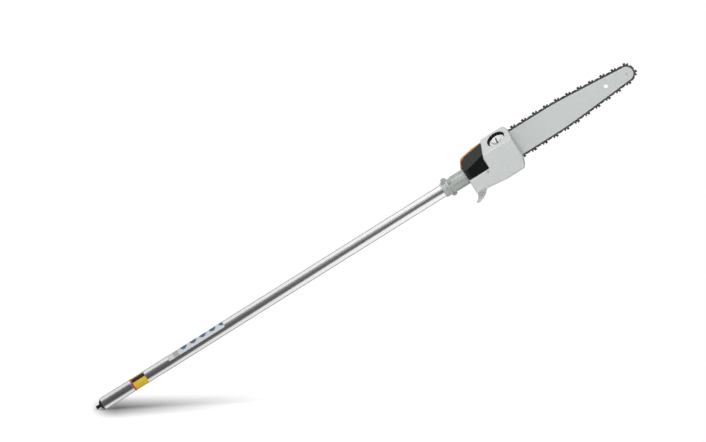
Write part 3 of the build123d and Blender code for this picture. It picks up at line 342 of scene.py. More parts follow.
FINISHES: dict[str, Finish] = {
    "tube": TubeFinish(
        "clear_lacquered_tube", (0.90, 0.905, 0.905), 0.28, metallic=1.0, texture=Texture.DRAWN,
        scale=1500.0, depth=0.0000015, spread=0.10, mottle=0.05, mottle_scale=14.0,
    ),
    "black": Finish(
        "black_moulding", (0.0045, 0.0055, 0.0055), 0.40, specular=0.27, scale=1800.0, spread=0.10,
        mottle=0.25, edge=0.0007, rub=0.8, rubbed=(0.06, 0.065, 0.065),
    ),
    "cast": Finish(
        "die_cast_metal", (0.42, 0.445, 0.43), 0.48, metallic=0.30, scale=1500.0, depth=0.000008,
        mottle=0.14, mottle_scale=70.0, edge=0.0006, rub=1.4, rubbed=(0.56, 0.58, 0.57),
    ),
    "steel": Finish(
        "turned_steel", (0.50, 0.50, 0.51), 0.30, metallic=1.0, texture=Texture.DRAWN, scale=2600.0,
        depth=0.000006, mottle=0.10,
    ),
    "dark_steel": Finish(
        "blackened_steel", (0.035, 0.035, 0.037), 0.38, metallic=0.6, mottle=0.35,
        mottle_scale=120.0, rub=1.6, rubbed=(0.32, 0.32, 0.33),
    ),
    "chain": LinkFinish(
        "blued_link_steel", (0.088, 0.089, 0.089), 0.42, metallic=0.60, depth=0.00001, mottle=0.30,
        mottle_scale=180.0, edge=0.00015, rub=1.0, rubbed=(0.30, 0.30, 0.30),
    ),
    "bar": Finish(
        "satin_bar_paint", (0.541, 0.565, 0.560), 0.46, metallic=0.05, texture=Texture.DRAWN,
        scale=1200.0, depth=0.000002, mottle=0.04, mottle_scale=16.0, spread=0.06, rub=1.0,
        rubbed=(0.70, 0.72, 0.71),
    ),
    "tank": Finish(
        "pale_tank_plastic", (0.535, 0.554, 0.551), 0.48, scale=1500.0, depth=0.00003, mottle=0.05,
        mottle_scale=26.0, edge=0.0018, rub=0.3, rubbed=(0.64, 0.66, 0.66),
    ),
    "cap": Finish(
        "white_cap_plastic", (0.68, 0.69, 0.685), 0.42, scale=1600.0, mottle=0.04, edge=0.0008,
    ),
    "orange": Finish(
        "orange_moulding", (0.70, 0.25, 0.035), 0.38, scale=1500.0, depth=0.00003, mottle=0.08,
        edge=0.0008, rub=0.8, rubbed=(0.76, 0.30, 0.08),
    ),
    "rubber": Finish("moulded_rubber", (0.022, 0.022, 0.022), 0.68, scale=2200.0, mottle=0.3),
    "bush": Finish("natural_nylon", (0.62, 0.58, 0.47), 0.46, mottle=0.10),
    "zinc": Finish(
        "zinc_plate", (0.60, 0.61, 0.63), 0.38, metallic=0.55, depth=0.00001, mottle=0.14,
        mottle_scale=160.0, edge=0.0003,
    ),
    "felt": Finish(
        "sintered_filter", (0.42, 0.39, 0.34), 0.85, scale=900.0, depth=0.0002, mottle=0.4,
    ),
}

FILM_DEPTH = 0.000004
STICKER_FINISHES: dict[str, Finish] = {
    "yellow": Finish(
        "yellow_film", (0.72, 0.50, 0.03), 0.45, mottle=0.10, mottle_scale=220.0, depth=FILM_DEPTH,
    ),
    "ink": Finish(
        "black_print", (0.012, 0.012, 0.010), 0.50, specular=0.3, mottle=0.2, depth=FILM_DEPTH,
    ),
    "red": Finish("red_print", (0.50, 0.05, 0.03), 0.45, mottle=0.08, depth=FILM_DEPTH),
    "pale": Finish("pale_film", (0.58, 0.60, 0.60), 0.50, mottle=0.05, depth=FILM_DEPTH),
    "blush": Finish(
        "blush_print", (0.42, 0.36, 0.35), 0.50, mottle=0.5, mottle_scale=240.0, depth=FILM_DEPTH,
    ),
    "blue": Finish(
        "blue_print", (0.055, 0.11, 0.26), 0.50, mottle=0.3, mottle_scale=160.0, depth=FILM_DEPTH,
    ),
}


class Shop:
    """Materials, and the way that every piece goes into the scene."""

    def __init__(self) -> None:
        """Builds the shared effects."""
        self.effects = Effects()
        self.made: dict[str, bpy.types.Material] = {}

    def material(self, finish: Finish) -> bpy.types.Material:
        """Returns the material of a finish, built once."""
        if finish.name not in self.made:
            self.made[finish.name] = finish.material(self.effects)
        return self.made[finish.name]

    def piece(self, name: str, mesh: bpy.types.Mesh, body: str, slot: str, *nodes: str) -> None:
        """Puts a finished mesh into the scene.

        Args:
            name: Name of the piece.
            mesh: Its mesh, already in place.
            body: CAD body that it rides on.
            slot: Material slot of the record; not used.
            *nodes: CAD nodes that it stands for.
        """
        mesh.shade_smooth()
        mesh.set_sharp_from_angle(angle=SMOOTH_ANGLE)
        obj = show(name, mesh)
        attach(obj, body)
        if nodes:
            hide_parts(*nodes)
        LOG.info("piece %s: %d faces on %s", name, len(mesh.polygons), body)

    def dress(self) -> None:
        """Gives every CAD node the finish of its slot."""
        slots = {row["node"]: row["material_slot"] for row in frame["record"]["subparts"]}
        for name, obj in frame["nodes"].items():
            material = self.material(FINISHES[slots[name]])
            obj.data.materials.clear()
            obj.data.materials.append(material)
            LOG.info("node %s: %s", name, material.name)


@dataclass
class CurvedSheet:
    """Sheet of some thickness bent round the X axis, such as the tube's wall or a sticker.

    An angle of 0 is the top, and a quarter turn is the side that faces -Y.
    """

    stations: Sequence[float]
    angles: Sequence[float]
    inner: float
    outer: Callable[[float], float]
    closed: bool = False
    keep: Callable[[int, int], bool] = lambda along, around: True
    paint: Callable[[int, int], int] = lambda along, around: 0

    def mesh(self, name: str, materials: Sequence[bpy.types.Material]) -> bpy.types.Mesh:
        """Builds the sheet.

        Args:
            name: Name of the mesh.
            materials: Materials that the paint of a cell chooses from.

        Returns:
            A closed mesh with its place in its vertices.
        """
        rows, columns = len(self.stations), len(self.angles)
        cells = columns if self.closed else columns - 1
        points: list[Vector] = []
        for layer in (self.outer, lambda x: self.inner):
            for x in self.stations:
                radius = layer(x)
                for angle in self.angles:
                    points.append(Vector((x, -radius * math.sin(angle), radius * math.cos(angle))))

        def corner(layer: int, along: int, around: int) -> int:
            return layer * rows * columns + along * columns + around % columns

        def there(along: int, around: int) -> bool:
            around = around % cells if self.closed else around
            return 0 <= along < rows - 1 and 0 <= around < cells and self.keep(along, around)

        faces: list[tuple[int, ...]] = []
        paints: list[int] = []
        for along in range(rows - 1):
            for around in range(cells):
                if not there(along, around):
                    continue
                ahead, aside = along + 1, around + 1
                ring = [(along, around), (ahead, around), (ahead, aside), (along, aside)]
                sides = [(along, around - 1), (ahead, around), (along, aside), (along - 1, around)]
                faces.append(tuple(corner(0, *spot) for spot in ring))
                faces.append(tuple(corner(1, *spot) for spot in reversed(ring)))
                paints += [self.paint(along, around)] * 2
                for start, end, beyond in zip(ring, ring[1:] + ring[:1], sides):
                    if not there(*beyond):
                        walls = ((0, end), (0, start), (1, start), (1, end))
                        faces.append(tuple(corner(layer, *spot) for layer, spot in walls))
                        paints.append(self.paint(along, around))
        mesh = solid_mesh(name, points, faces)
        for material in materials:
            mesh.materials.append(material)
        mesh.polygons.foreach_set("material_index", paints)
        return mesh


def solid_mesh(name: str, points: Sequence, faces: Sequence) -> bpy.types.Mesh:
    """Makes a mesh without loose or double points and with its faces outward.

    Args:
        name: Name of the mesh.
        points: Places of its corners.
        faces: Numbers of each face's corners.

    Returns:
        The mesh.
    """
    mesh = bpy.data.meshes.new(name)
    mesh.from_pydata(points, [], faces)
    work = bmesh.new()
    work.from_mesh(mesh)
    bmesh.ops.remove_doubles(work, verts=work.verts, dist=MERGE)
    loose = [vert for vert in work.verts if not vert.link_faces]
    bmesh.ops.delete(work, geom=loose, context="VERTS")
    return finished(work, mesh)


def finished(work: bmesh.types.BMesh, mesh: bpy.types.Mesh) -> bpy.types.Mesh:
    """Turns the faces outward, writes the work into the mesh and returns it."""
    bmesh.ops.recalc_face_normals(work, faces=work.faces)
    work.to_mesh(mesh)
    work.free()
    return mesh


def show(name: str, data: bpy.types.ID) -> bpy.types.Object:
    """Puts data into the scene under a name and returns its object."""
    obj = bpy.data.objects.new(name, data)
    bpy.context.scene.collection.objects.link(obj)
    return obj


@dataclass
class DriveTube:
    """Drawn tube with its index slot, depth mark and stickers."""

    shop: Shop
    radius: float = 12.7 * MM
    bore: float = 11.1 * MM
    length: float = 830.0 * MM
    chamfer: float = 0.35 * MM
    mark_at: float = 68.0 * MM
    mark_width: float = 1.5 * MM
    mark_depth: float = 0.25 * MM
    slot_width: float = 6.0 * MM
    slot_length: float = 10.0 * MM
    mark_flank: float = 0.05 * MM
    film: float = 0.09 * MM
    film_lift: float = 0.01 * MM
    film_facet: float = 3.0
    facets: int = 144

    def build(self) -> None:
        """Builds the tube and the stickers on it."""
        self.tube()
        self.band_sticker()
        self.long_sticker()

    def tube(self) -> None:
        """Builds the tube's wall with its slot and depth mark."""
        mark_start = self.mark_at - self.mark_width / 2
        mark_end = self.mark_at + self.mark_width / 2
        depths = {
            0.0: self.chamfer,
            self.chamfer: 0.0,
            self.slot_length: 0.0,
            mark_start: 0.0,
            mark_start + self.mark_flank: self.mark_depth,
            mark_end - self.mark_flank: self.mark_depth,
            mark_end: 0.0,
            self.length - self.chamfer: 0.0,
            self.length: self.chamfer,
        }
        stations = sorted(depths)
        half_slot = math.asin(self.slot_width / 2 / self.radius)
        angles = [-half_slot, half_slot]
        step_angle = (2 * math.pi - 2 * half_slot) / self.facets
        angles += [half_slot + step_angle * index for index in range(1, self.facets)]
        sheet = CurvedSheet(
            stations,
            angles,
            self.bore,
            lambda x: self.radius - depths[x],
            closed=True,
            keep=lambda along, around: around != 0 or stations[along] >= self.slot_length,
        )
        mesh = sheet.mesh("drawn_tube", [self.shop.material(FINISHES["tube"])])
        self.shop.piece("drawn_tube", mesh, "pole", "tube", "drive_tube")

    def sticker(self, name: str, stations: list[float], turns: list[float], finishes: list[str],
                paint: Callable[[int, int], int]) -> None:
        """Builds a sticker.

        Args:
            name: Name of the piece.
            stations: Where its fields begin and end along the tube, in millimetres.
            turns: Where its fields begin and end round the tube, in degrees from the top.
            finishes: Names of its finishes.
            paint: Finish number of a field.
        """
        angles: list[float] = []
        fields: list[int] = []
        for number, (start, end) in enumerate(zip(turns, turns[1:])):
            count = max(1, round((end - start) / self.film_facet))
            angles += [math.radians(start + (end - start) * step / count) for step in range(count)]
            fields += [number] * count
        angles.append(math.radians(turns[-1]))
        outside = self.radius + self.film
        sheet = CurvedSheet(
            [x * MM for x in stations],
            angles,
            self.radius + self.film_lift,
            lambda x: outside,
            paint=lambda along, around: paint(along, fields[around]),
        )
        materials = [self.shop.material(STICKER_FINISHES[finish]) for finish in finishes]
        self.shop.piece(name, sheet.mesh(name, materials), "pole", "tube")

    def band_sticker(self) -> None:
        """Builds the coloured band that ends at the depth mark."""
        pattern = ((0, 0, 0, 0), (1, 2, 1, 1))
        self.sticker(
            "colour_band",
            [69.5, 73.0, 101.5],
            [8.0, 24.0, 66.0, 70.0, 172.0],
            ["red", "yellow", "ink"],
            lambda along, around: pattern[along][around],
        )

    def long_sticker(self) -> None:
        """Builds the long pale sticker with its plain round fields."""
        start, end, print_start, print_end = 158, 287, 170, 182
        first_disc, spacing, disc_radius, disc_turn = 196.0, 22.4, 7.4, 16.0
        turns = [float(turn) for turn in range(-6, 77, 2)]
        arc = math.radians(1.0) * self.radius / MM

        def paint(along: int, around: int) -> int:
            middle = start + along + 0.5
            if middle < print_end:
                return 1 if middle > print_start else 0
            from_disc = (middle - first_disc + spacing / 2) % spacing - spacing / 2
            rise = (turns[around] + 1.0 - disc_turn) * arc
            inside = math.hypot(from_disc, rise) < disc_radius and middle > first_disc - spacing / 2
            return 2 if inside else 0

        stations = [float(x) for x in range(start, end + 1)]
        self.sticker("long_pale_sticker", stations, turns, ["pale", "blush", "blue"], paint)


@dataclass
class CapSlot:
    """Black sheet inside the filler cap's slot: painted shade for the slot's depth."""

    shop: Shop
    origin: Vector = field(default_factory=lambda: Vector((0.940, -0.0075, 0.03325)))
    slope: float = math.atan(0.5)
    half_width: float = 1.28 * MM
    wall: float = 0.22 * MM
    floor_at: float = -5.19 * MM
    rim_at: float = -1.6 * MM
    ends: tuple[float, float] = (-9.62 * MM, 5.7 * MM)

    def build(self) -> None:
        """Builds the painted-shade sheet, open at the top."""
        inner, floor_top = self.half_width - self.wall, self.floor_at + self.wall
        right = [
            (self.half_width, self.floor_at),
            (self.half_width, self.rim_at),
            (inner, self.rim_at),
            (inner, floor_top),
        ]
        profile = right + [(-x, z) for x, z in reversed(right)]
        uphill = Vector((0.0, math.cos(self.slope), math.sin(self.slope)))
        axis = Vector((0.0, -math.sin(self.slope), math.cos(self.slope)))
        points = []
        for end in self.ends:
            middle = self.origin + uphill * end
            points += [middle + Vector((x, 0.0, 0.0)) + axis * z for x, z in profile]
        count = len(profile)
        faces: list[tuple[int, ...]] = []
        for row in range(count):
            ahead = (row + 1) % count
            faces.append((row, ahead, count + ahead, count + row))
        caps = [(0, 3, 4, 7), (0, 1, 2, 3), (4, 5, 6, 7)]
        faces += caps + [tuple(count + corner for corner in reversed(cap)) for cap in caps]
        mesh = solid_mesh("cap_slot_lining", points, faces)
        # Painted shade: the slot is lined with black so that it reads dark.
        mesh.materials.append(self.shop.material(FINISHES["black"]))
        self.shop.piece("cap_slot_lining", mesh, "cap", "cap")


class LinkShape(Enum):
    """Kinds of link in the chain, each with the CAD node that it stands for."""

    DRIVE = "chain_drive_links"
    STRAP = "chain_tie_straps"
    LEFT = "chain_left_cutters"
    RIGHT = "chain_right_cutters"
    RIVET = "chain_rivets"


# Outlines in millimetres from the middle of a link, with X along the run and Z outward.
TANG: Outline = [
    (-4.3, -1.6), (-1.9, -5.7), (-1.0, -6.9), (2.3, -6.9), (2.6, -6.1), (3.0, -3.2), (3.9, -2.0),
]
DEPTH_GAUGE: Outline = [(5.4, 1.2), (5.55, 2.4), (5.1, 3.6), (4.3, 4.8), (2.6, 4.5)]
GULLET: Outline = [(1.9, 3.2), (1.3, 2.5), (0.6, 2.2), (-0.2, 2.4), (-0.9, 3.1), (-1.0, 4.0)]
TOOTH: Outline = [(-0.4, 5.4), (-5.9, 4.6), (-5.6, 2.2)]


@dataclass
class SawChain:
    """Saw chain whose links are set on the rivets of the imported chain."""

    shop: Shop
    pitch: float = 6.35 * MM
    end_radius: float = 2.2 * MM
    waist: float = 0.45 * MM
    top_waist: float = 0.135 * MM
    gauge: float = 0.9 * MM
    drive_gauge: float = 1.1 * MM
    strap_offset: float = 1.05 * MM
    saddle_half: float = 0.9 * MM
    saddle_height: float = 0.9 * MM
    cutter_height: float = 5.4 * MM
    plate_gauge: float = 0.75 * MM
    heel: float = 5.9 * MM
    heel_drop: float = 0.85 * MM
    heel_lean: float = 0.3
    edge: float = 0.4 * MM
    edge_hook: float = 0.25 * MM
    file_angle: float = math.radians(28)
    overhang: float = 1.55 * MM
    set_out: float = 1.05 * MM
    chamfer: float = 0.12 * MM
    rivet_radius: float = 1.5 * MM
    rivet_reach: float = 1.85 * MM
    rivet_head: float = 0.35 * MM
    rivet_crown: float = 0.1 * MM
    rivet_face: float = 0.35
    rivet_shoulder: float = 0.8
    rivet_facets: int = 10
    spun_head: float = 0.5
    seed: int = 7
    spots: list[Vector] = field(default_factory=list)

    def build(self) -> None:
        """Builds the five kinds of link."""
        self.spots = self.loop()
        middles = [(start + end) / 2 for start, end in self.pairs()]
        tree = self.plates_on_runs()
        for kind in LinkShape:
            runs = self.runs(kind, middles)
            shape = self.shape(kind)
            base = bpy.data.meshes.new("runs")
            points = [point for run in runs for point in run]
            base.from_pydata(points, [(2 * row, 2 * row + 1) for row in range(len(runs))], [])
            mesh = self.spread(tree, base, shape, kind)
            self.shop.piece("links_" + kind.name.lower(), mesh, "guide_bar", "chain", kind.value)

    def pairs(self) -> list[tuple[Vector, Vector]]:
        """Returns each rivet with the next one round the loop."""
        return list(zip(self.spots, self.spots[1:] + self.spots[:1]))

    def loop(self) -> list[Vector]:
        """Returns the rivets in order, with the upper run going toward the nose."""
        left = solid_middles(LinkShape.RIVET.value)
        top = max(left, key=lambda spot: spot.z)
        ahead = [spot for spot in left if spot.x > top.x]
        order = [top]
        left.remove(top)
        following = min(ahead, key=lambda spot: (spot - top).length)
        while left:
            order.append(following)
            left.remove(following)
            if left:
                following = min(left, key=lambda spot: (spot - order[-1]).length)
        return order

    def runs(self, kind: LinkShape, middles: list[Vector]) -> list[tuple[Vector, Vector]]:
        """Finds the pairs of rivets that a kind of link joins.

        Args:
            kind: Kind of link.
            middles: Point halfway along each pair of rivets.

        Returns:
            Start and end of each link, in its own plane across the bar.
        """
        if kind is LinkShape.RIVET:
            half = Vector((self.pitch / 4, 0.0, 0.0))
            return [(spot - half, spot + half) for spot in self.spots]
        found: list[tuple[Vector, Vector]] = []
        pairs = self.pairs()
        centre_y = self.spots[0].y
        sides = {LinkShape.DRIVE: 0.0, LinkShape.LEFT: -1.0, LinkShape.RIGHT: 1.0}
        for middle in solid_middles(kind.value):
            flat = Vector((middle.x, centre_y, middle.z))
            nearest = min(range(len(pairs)), key=lambda row: (middles[row] - flat).length)
            side = sides.get(kind, math.copysign(1.0, middle.y - centre_y))
            shift = Vector((0.0, side * self.strap_offset, 0.0))
            start, end = pairs[nearest]
            found.append((start + shift, end + shift))
        return found

    def shape(self, kind: LinkShape) -> bpy.types.Object:
        """Builds one link about its middle, with +X along the run and +Z outward."""
        if kind is LinkShape.RIVET:
            mesh = self.rivet_mesh()
        elif kind is LinkShape.DRIVE:
            mesh = plate_mesh("drive_link", self.drive_outline(), self.drive_gauge, self.chamfer)
        elif kind is LinkShape.STRAP:
            mesh = plate_mesh("strap", self.body_outline(), self.gauge, self.chamfer)
        else:
            mesh = self.cutter_mesh(-1.0 if kind is LinkShape.LEFT else 1.0)
        if "ground" not in mesh.attributes:
            mesh.attributes.new("ground", "FLOAT", "FACE")
        return bpy.data.objects.new("one_" + kind.name.lower(), mesh)

    def end_arc(self, centre: float, start: float, end: float, steps: int = 5) -> Outline:
        """Returns points round one end of a link, between two angles in degrees."""
        turns = [math.radians(start + (end - start) * step / steps) for step in range(steps + 1)]
        radius = self.end_radius
        return [(centre + radius * math.cos(turn), radius * math.sin(turn)) for turn in turns]

    def body_outline(self) -> Outline:
        """Returns the outline of a plain side link."""
        half = self.pitch / 2
        front = self.end_arc(half, -90, 90)
        back = self.end_arc(-half, 90, 270)
        top = [(0.0, self.end_radius - self.top_waist)]
        return front + top + back + [(0.0, self.waist - self.end_radius)]

    def drive_outline(self) -> Outline:
        """Returns the outline of a drive link with its saddle and its hooked tang."""
        half = self.pitch / 2
        saddle = [(self.saddle_half, self.saddle_height), (-self.saddle_half, self.saddle_height)]
        return self.end_arc(half, -45, 90) + saddle + self.end_arc(-half, 90, 225) + in_metres(TANG)

    def cutter_mesh(self, side: float) -> bpy.types.Mesh:
        """Builds a cutter: plate with depth gauge and gullet, and the top plate bent over it.

        Args:
            side: -1 for a cutter on the near side of the bar and 1 for the far side.

        Returns:
            Its mesh, with the ground faces marked.
        """
        half = self.pitch / 2
        points = self.end_arc(half, -90, 0, 3) + in_metres(DEPTH_GAUGE + GULLET + TOOTH)
        points += self.end_arc(-half, 165, 270, 3) + [(0.0, self.waist - self.end_radius)]
        mesh = plate_mesh("cutter", points, self.gauge, self.chamfer)
        work = bmesh.new()
        work.from_mesh(mesh)
        ground = work.faces.layers.float.new("ground")
        outer = side * self.set_out
        inner = -side * self.overhang
        skew = abs(outer - inner) * math.tan(self.file_angle)
        top, heel_top = self.cutter_height, self.cutter_height - self.heel_drop
        corners = []
        for y, lag in ((outer, 0.0), (inner, skew)):
            heel, edge = lag * self.heel_lean - self.heel, -self.edge - lag
            corners += [
                (heel, y, heel_top - self.plate_gauge),
                (edge - self.edge_hook, y, top - self.plate_gauge),
                (edge, y, top),
                (heel, y, heel_top),
            ]
        verts = [work.verts.new(corner) for corner in corners]
        plain = [(0, 1, 2, 3), (7, 6, 5, 4), (0, 4, 5, 1), (3, 7, 4, 0)]
        bright = [(1, 5, 6, 2), (2, 6, 7, 3)]
        for rows, value in ((plain, 0.0), (bright, 1.0)):
            for row in rows:
                work.faces.new([verts[corner] for corner in row])[ground] = value
        return finished(work, mesh)

    def rivet_mesh(self) -> bpy.types.Mesh:
        """Builds a rivet with a low domed head at each end."""
        radius, reach = self.rivet_radius, self.rivet_reach
        profile = [
            (self.rivet_face * radius, reach),
            (self.rivet_shoulder * radius, reach - self.rivet_crown),
            (radius, reach - self.rivet_head),
        ]
        profile += [(wide, -y) for wide, y in reversed(profile)]
        steps = self.rivet_facets
        turns = [2 * math.pi * step / steps for step in range(steps)]
        work = bmesh.new()
        rings = []
        for wide, y in profile:
            ring = [(wide * math.cos(turn), y, wide * math.sin(turn)) for turn in turns]
            rings.append([work.verts.new(spot) for spot in ring])
        for ring, following in zip(rings, rings[1:]):
            for step in range(steps):
                ahead = (step + 1) % steps
                work.faces.new((ring[step], ring[ahead], following[ahead], following[step]))
        ground = work.faces.layers.float.new("ground")
        for ring in (rings[0], rings[-1]):
            work.faces.new(ring)[ground] = self.spun_head
        return finished(work, bpy.data.meshes.new("rivet"))

    def plates_on_runs(self) -> bpy.types.NodeTree:
        """Builds the tree that sets a link on each run, turned to lie along it."""
        sheet, given, result = start_tree(
            "GeometryNodeTree",
            "links_on_runs",
            {"Runs": "Geometry", "Link": "Object", "Material": "Material", "Seed": "Int"},
            {"Links": "Geometry"},
        )
        ends = sheet.add("GeometryNodeInputMeshEdgeVertices").outputs
        along = sheet.add(
            "ShaderNodeVectorMath",
            {0: ends["Position 2"], 1: ends["Position 1"]},
            operation="SUBTRACT",
        ).outputs["Vector"]
        stored = sheet.add(
            "GeometryNodeStoreNamedAttribute",
            {"Geometry": given["Runs"], "Name": "along", "Value": along},
            data_type="FLOAT_VECTOR",
            domain="EDGE",
        ).outputs["Geometry"]
        middles = sheet.add("GeometryNodeMeshToPoints", {"Mesh": stored}, mode="EDGES")
        heading = sheet.add(
            "GeometryNodeInputNamedAttribute", {"Name": "along"}, data_type="FLOAT_VECTOR"
        ).outputs["Attribute"]
        turn = sheet.add(
            "FunctionNodeAlignRotationToVector", {"Vector": heading}, axis="X", pivot_axis="Y"
        ).outputs["Rotation"]
        link = sheet.add("GeometryNodeObjectInfo", {"Object": given["Link"]}).outputs["Geometry"]
        placed = sheet.add(
            "GeometryNodeInstanceOnPoints",
            {"Points": middles.outputs["Points"], "Instance": link, "Rotation": turn},
        ).outputs["Instances"]
        chance = sheet.add("FunctionNodeRandomValue", {"Seed": given["Seed"]}, data_type="FLOAT")
        toned = sheet.add(
            "GeometryNodeStoreNamedAttribute",
            {"Geometry": placed, "Name": "tone", "Value": chance.outputs[1]},
            data_type="FLOAT",
            domain="INSTANCE",
        ).outputs["Geometry"]
        sheet.link(settle(sheet, toned, given["Material"]), result["Links"])
        return sheet.tree

    def spread(self, tree: bpy.types.NodeTree, base: bpy.types.Mesh, shape: bpy.types.Object,
               kind: LinkShape) -> bpy.types.Mesh:
        """Sets the links on their runs and returns the plain mesh.

        Args:
            tree: The tree that places links.
            base: Mesh with one loose edge for each link.
            shape: One link.
            kind: Kind of link, which also moves the seed.

        Returns:
            A mesh of all links of that kind.
        """
        values = {
            "Link": shape,
            "Material": self.shop.material(FINISHES["chain"]),
            "Seed": self.seed + list(LinkShape).index(kind),
        }
        mesh = grow(tree, base, values)
        bpy.data.objects.remove(shape)
        return mesh


@dataclass
class CoverRibs:
    """Row of low ribs moulded on the outside of the sprocket cover."""

    shop: Shop
    count: int = 5
    step: float = 7.5 * MM
    first: float = 860.0 * MM
    middle: float = 1.0 * MM
    width: float = 2.4 * MM
    height: float = 34.0 * MM
    rise: float = 0.8 * MM
    gauge: float = 2.0 * MM
    chamfer: float = 0.5 * MM
    end_steps: int = 6

    def build(self) -> None:
        """Builds the ribs as one piece."""
        radius = self.width / 2
        straight = self.height / 2 - radius
        outline: Outline = []
        for end, start in ((straight, 0.0), (-straight, math.pi)):
            for step in range(self.end_steps + 1):
                turn = start + math.pi * step / self.end_steps
                outline.append((radius * math.cos(turn), end + radius * math.sin(turn)))
        rib = bpy.data.objects.new("one_rib", plate_mesh("rib", outline, self.gauge, self.chamfer))
        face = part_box("sprocket_cover")[1].y
        values = {
            "Rib": rib,
            "Count": self.count,
            "Start": Vector((self.first, face + self.rise - self.gauge / 2, self.middle)),
            "Step": Vector((self.step, 0.0, 0.0)),
            "Material": self.shop.material(FINISHES["orange"]),
        }
        mesh = grow(self.row(), bpy.data.meshes.new("ribs"), values)
        bpy.data.objects.remove(rib)
        self.shop.piece("cover_ribs", mesh, "pole", "orange")

    def row(self) -> bpy.types.NodeTree:
        """Builds the tree that sets ribs in a row."""
        sheet, given, result = start_tree(
            "GeometryNodeTree",
            "ribs_in_a_row",
            {
                "Geometry": "Geometry",
                "Rib": "Object",
                "Count": "Int",
                "Start": "Vector",
                "Step": "Vector",
                "Material": "Material",
            },
            {"Ribs": "Geometry"},
        )
        line = sheet.add(
            "GeometryNodeMeshLine",
            {"Count": given["Count"], "Start Location": given["Start"], "Offset": given["Step"]},
        ).outputs["Mesh"]
        rib = sheet.add("GeometryNodeObjectInfo", {"Object": given["Rib"]}).outputs["Geometry"]
        placed = sheet.add("GeometryNodeInstanceOnPoints", {"Points": line, "Instance": rib})
        ribs = settle(sheet, placed.outputs["Instances"], given["Material"])
        sheet.link(ribs, result["Ribs"])
        return sheet.tree


def in_metres(outline: Outline) -> Outline:
    """Returns an outline given in millimetres in metres."""
    return [(x * MM, z * MM) for x, z in outline]


def settle(sheet: NodeSheet, instances: Socket, material: Socket) -> Socket:
    """Adds the nodes that make instances real and give them a material.

    Args:
        sheet: The tree.
        instances: The instances.
        material: The material.

    Returns:
        The finished geometry.
    """
    real = sheet.add("GeometryNodeRealizeInstances", {"Geometry": instances}).outputs["Geometry"]
    painted = sheet.add("GeometryNodeSetMaterial", {"Geometry": real, "Material": material})
    return painted.outputs["Geometry"]


def grow(tree: bpy.types.NodeTree, base: bpy.types.Mesh, values: dict) -> bpy.types.Mesh:
    """Runs a tree of Geometry Nodes and keeps its result as a plain mesh.

    Args:
        tree: The tree.
        base: Mesh that it starts from.
        values: Value of each named input.

    Returns:
        The mesh that the tree makes.
    """
    holder = show("holder", base)
    modifier = holder.modifiers.new("tree", "NODES")
    modifier.node_group = tree
    for item in tree.interface.items_tree:
        if item.in_out == "INPUT" and item.name in values:
            modifier[item.identifier] = values[item.name]
    graph = bpy.context.evaluated_depsgraph_get()
    mesh = bpy.data.meshes.new_from_object(holder.evaluated_get(graph), depsgraph=graph)
    holder.modifiers.remove(modifier)
    bpy.data.objects.remove(holder)
    return mesh


def plate_mesh(name: str, outline: Outline, gauge: float, chamfer: float) -> bpy.types.Mesh:
    """Builds a plate from an outline in X and Z, with its edges broken.

    Args:
        name: Name of the mesh.
        outline: Points in order round the plate.
        gauge: Thickness along Y, half to each side.
        chamfer: Width of the broken edge.

    Returns:
        A closed mesh.
    """
    count = len(outline)
    inset = []
    for row in range(count):
        before, here, after = (Vector(outline[(row + step) % count]) for step in (-1, 0, 1))
        first, second = (here - before).normalized(), (after - here).normalized()
        inward = Vector((-first.y - second.y, first.x + second.x)).normalized()
        inset.append(here + inward * chamfer)
    layers = [
        (-gauge / 2, inset),
        (chamfer - gauge / 2, outline),
        (gauge / 2 - chamfer, outline),
        (gauge / 2, inset),
    ]
    points = [(spot[0], y, spot[1]) for y, ring in layers for spot in ring]
    faces = [tuple(range(count)), tuple(reversed(range(3 * count, 4 * count)))]
    for layer in range(len(layers) - 1):
        for row in range(count):
            ahead = (row + 1) % count
            low, high = layer * count, (layer + 1) * count
            faces.append((low + row, low + ahead, high + ahead, high + row))
    return solid_mesh(name, points, faces)


def solid_middles(node: str) -> list[Vector]:
    """Returns the middle of each separate solid in a CAD node."""
    work = bmesh.new()
    work.from_mesh(frame["nodes"][node].data)
    bmesh.ops.remove_doubles(work, verts=work.verts, dist=WELD)
    unseen = set(work.verts)
    middles = []
    while unseen:
        low = Vector((math.inf,) * 3)
        high = -low
        waiting = [unseen.pop()]
        while waiting:
            vert = waiting.pop()
            low = Vector(map(min, low, vert.co))
            high = Vector(map(max, high, vert.co))
            for edge in vert.link_edges:
                other = edge.other_vert(vert)
                if other in unseen:
                    unseen.remove(other)
                    waiting.append(other)
        middles.append((low + high) / 2)
    work.free()
    return sorted(middles, key=lambda spot: (round(spot.x, 5), round(spot.z, 5)))


@dataclass(frozen=True)
class SoftBox:
    """Soft lamp; its place is measured from the middle of the picture."""

    name: str
    size: tuple[float, float]
    watts: float
    across: float = 0.0
    toward: float = 0.0
    above: float = 0.0
    ahead: float = 0.0
    mirrored: bool = True


@dataclass(frozen=True)
class Card:
    """Dark card along the tool; its place is measured from the tube's axis."""

    name: str
    away: float
    edge: Outline
    top: float
    shade: float


SOFT_BOXES = (
    SoftBox("upper_box", (1.2, 1.0), 35.0, across=-0.1, toward=1.26, above=1.80),
    SoftBox("front_box", (1.8, 1.2), 10.0, across=0.5, ahead=-2.5, mirrored=False),
    SoftBox("rear_box", (1.8, 1.2), 10.0, above=1.2, ahead=2.2, mirrored=False),
)
# Lower edges of the cards; the front one rises along the tube, where the metal's dark band narrows.
FRONT_EDGE: Outline = [
    (-1.2, -0.28), (0.1, -0.268), (0.35, -0.16), (0.55, -0.112), (0.75, -0.085), (0.79, -0.16),
    (2.4, -0.16),
]
REAR_EDGE: Outline = [(-1.2, -0.52), (2.4, -0.52)]
CARDS = (
    Card("front_card", -0.22, FRONT_EDGE, 0.44, 0.105),
    Card("rear_card", 0.3, REAR_EDGE, 0.22, 0.11),
)


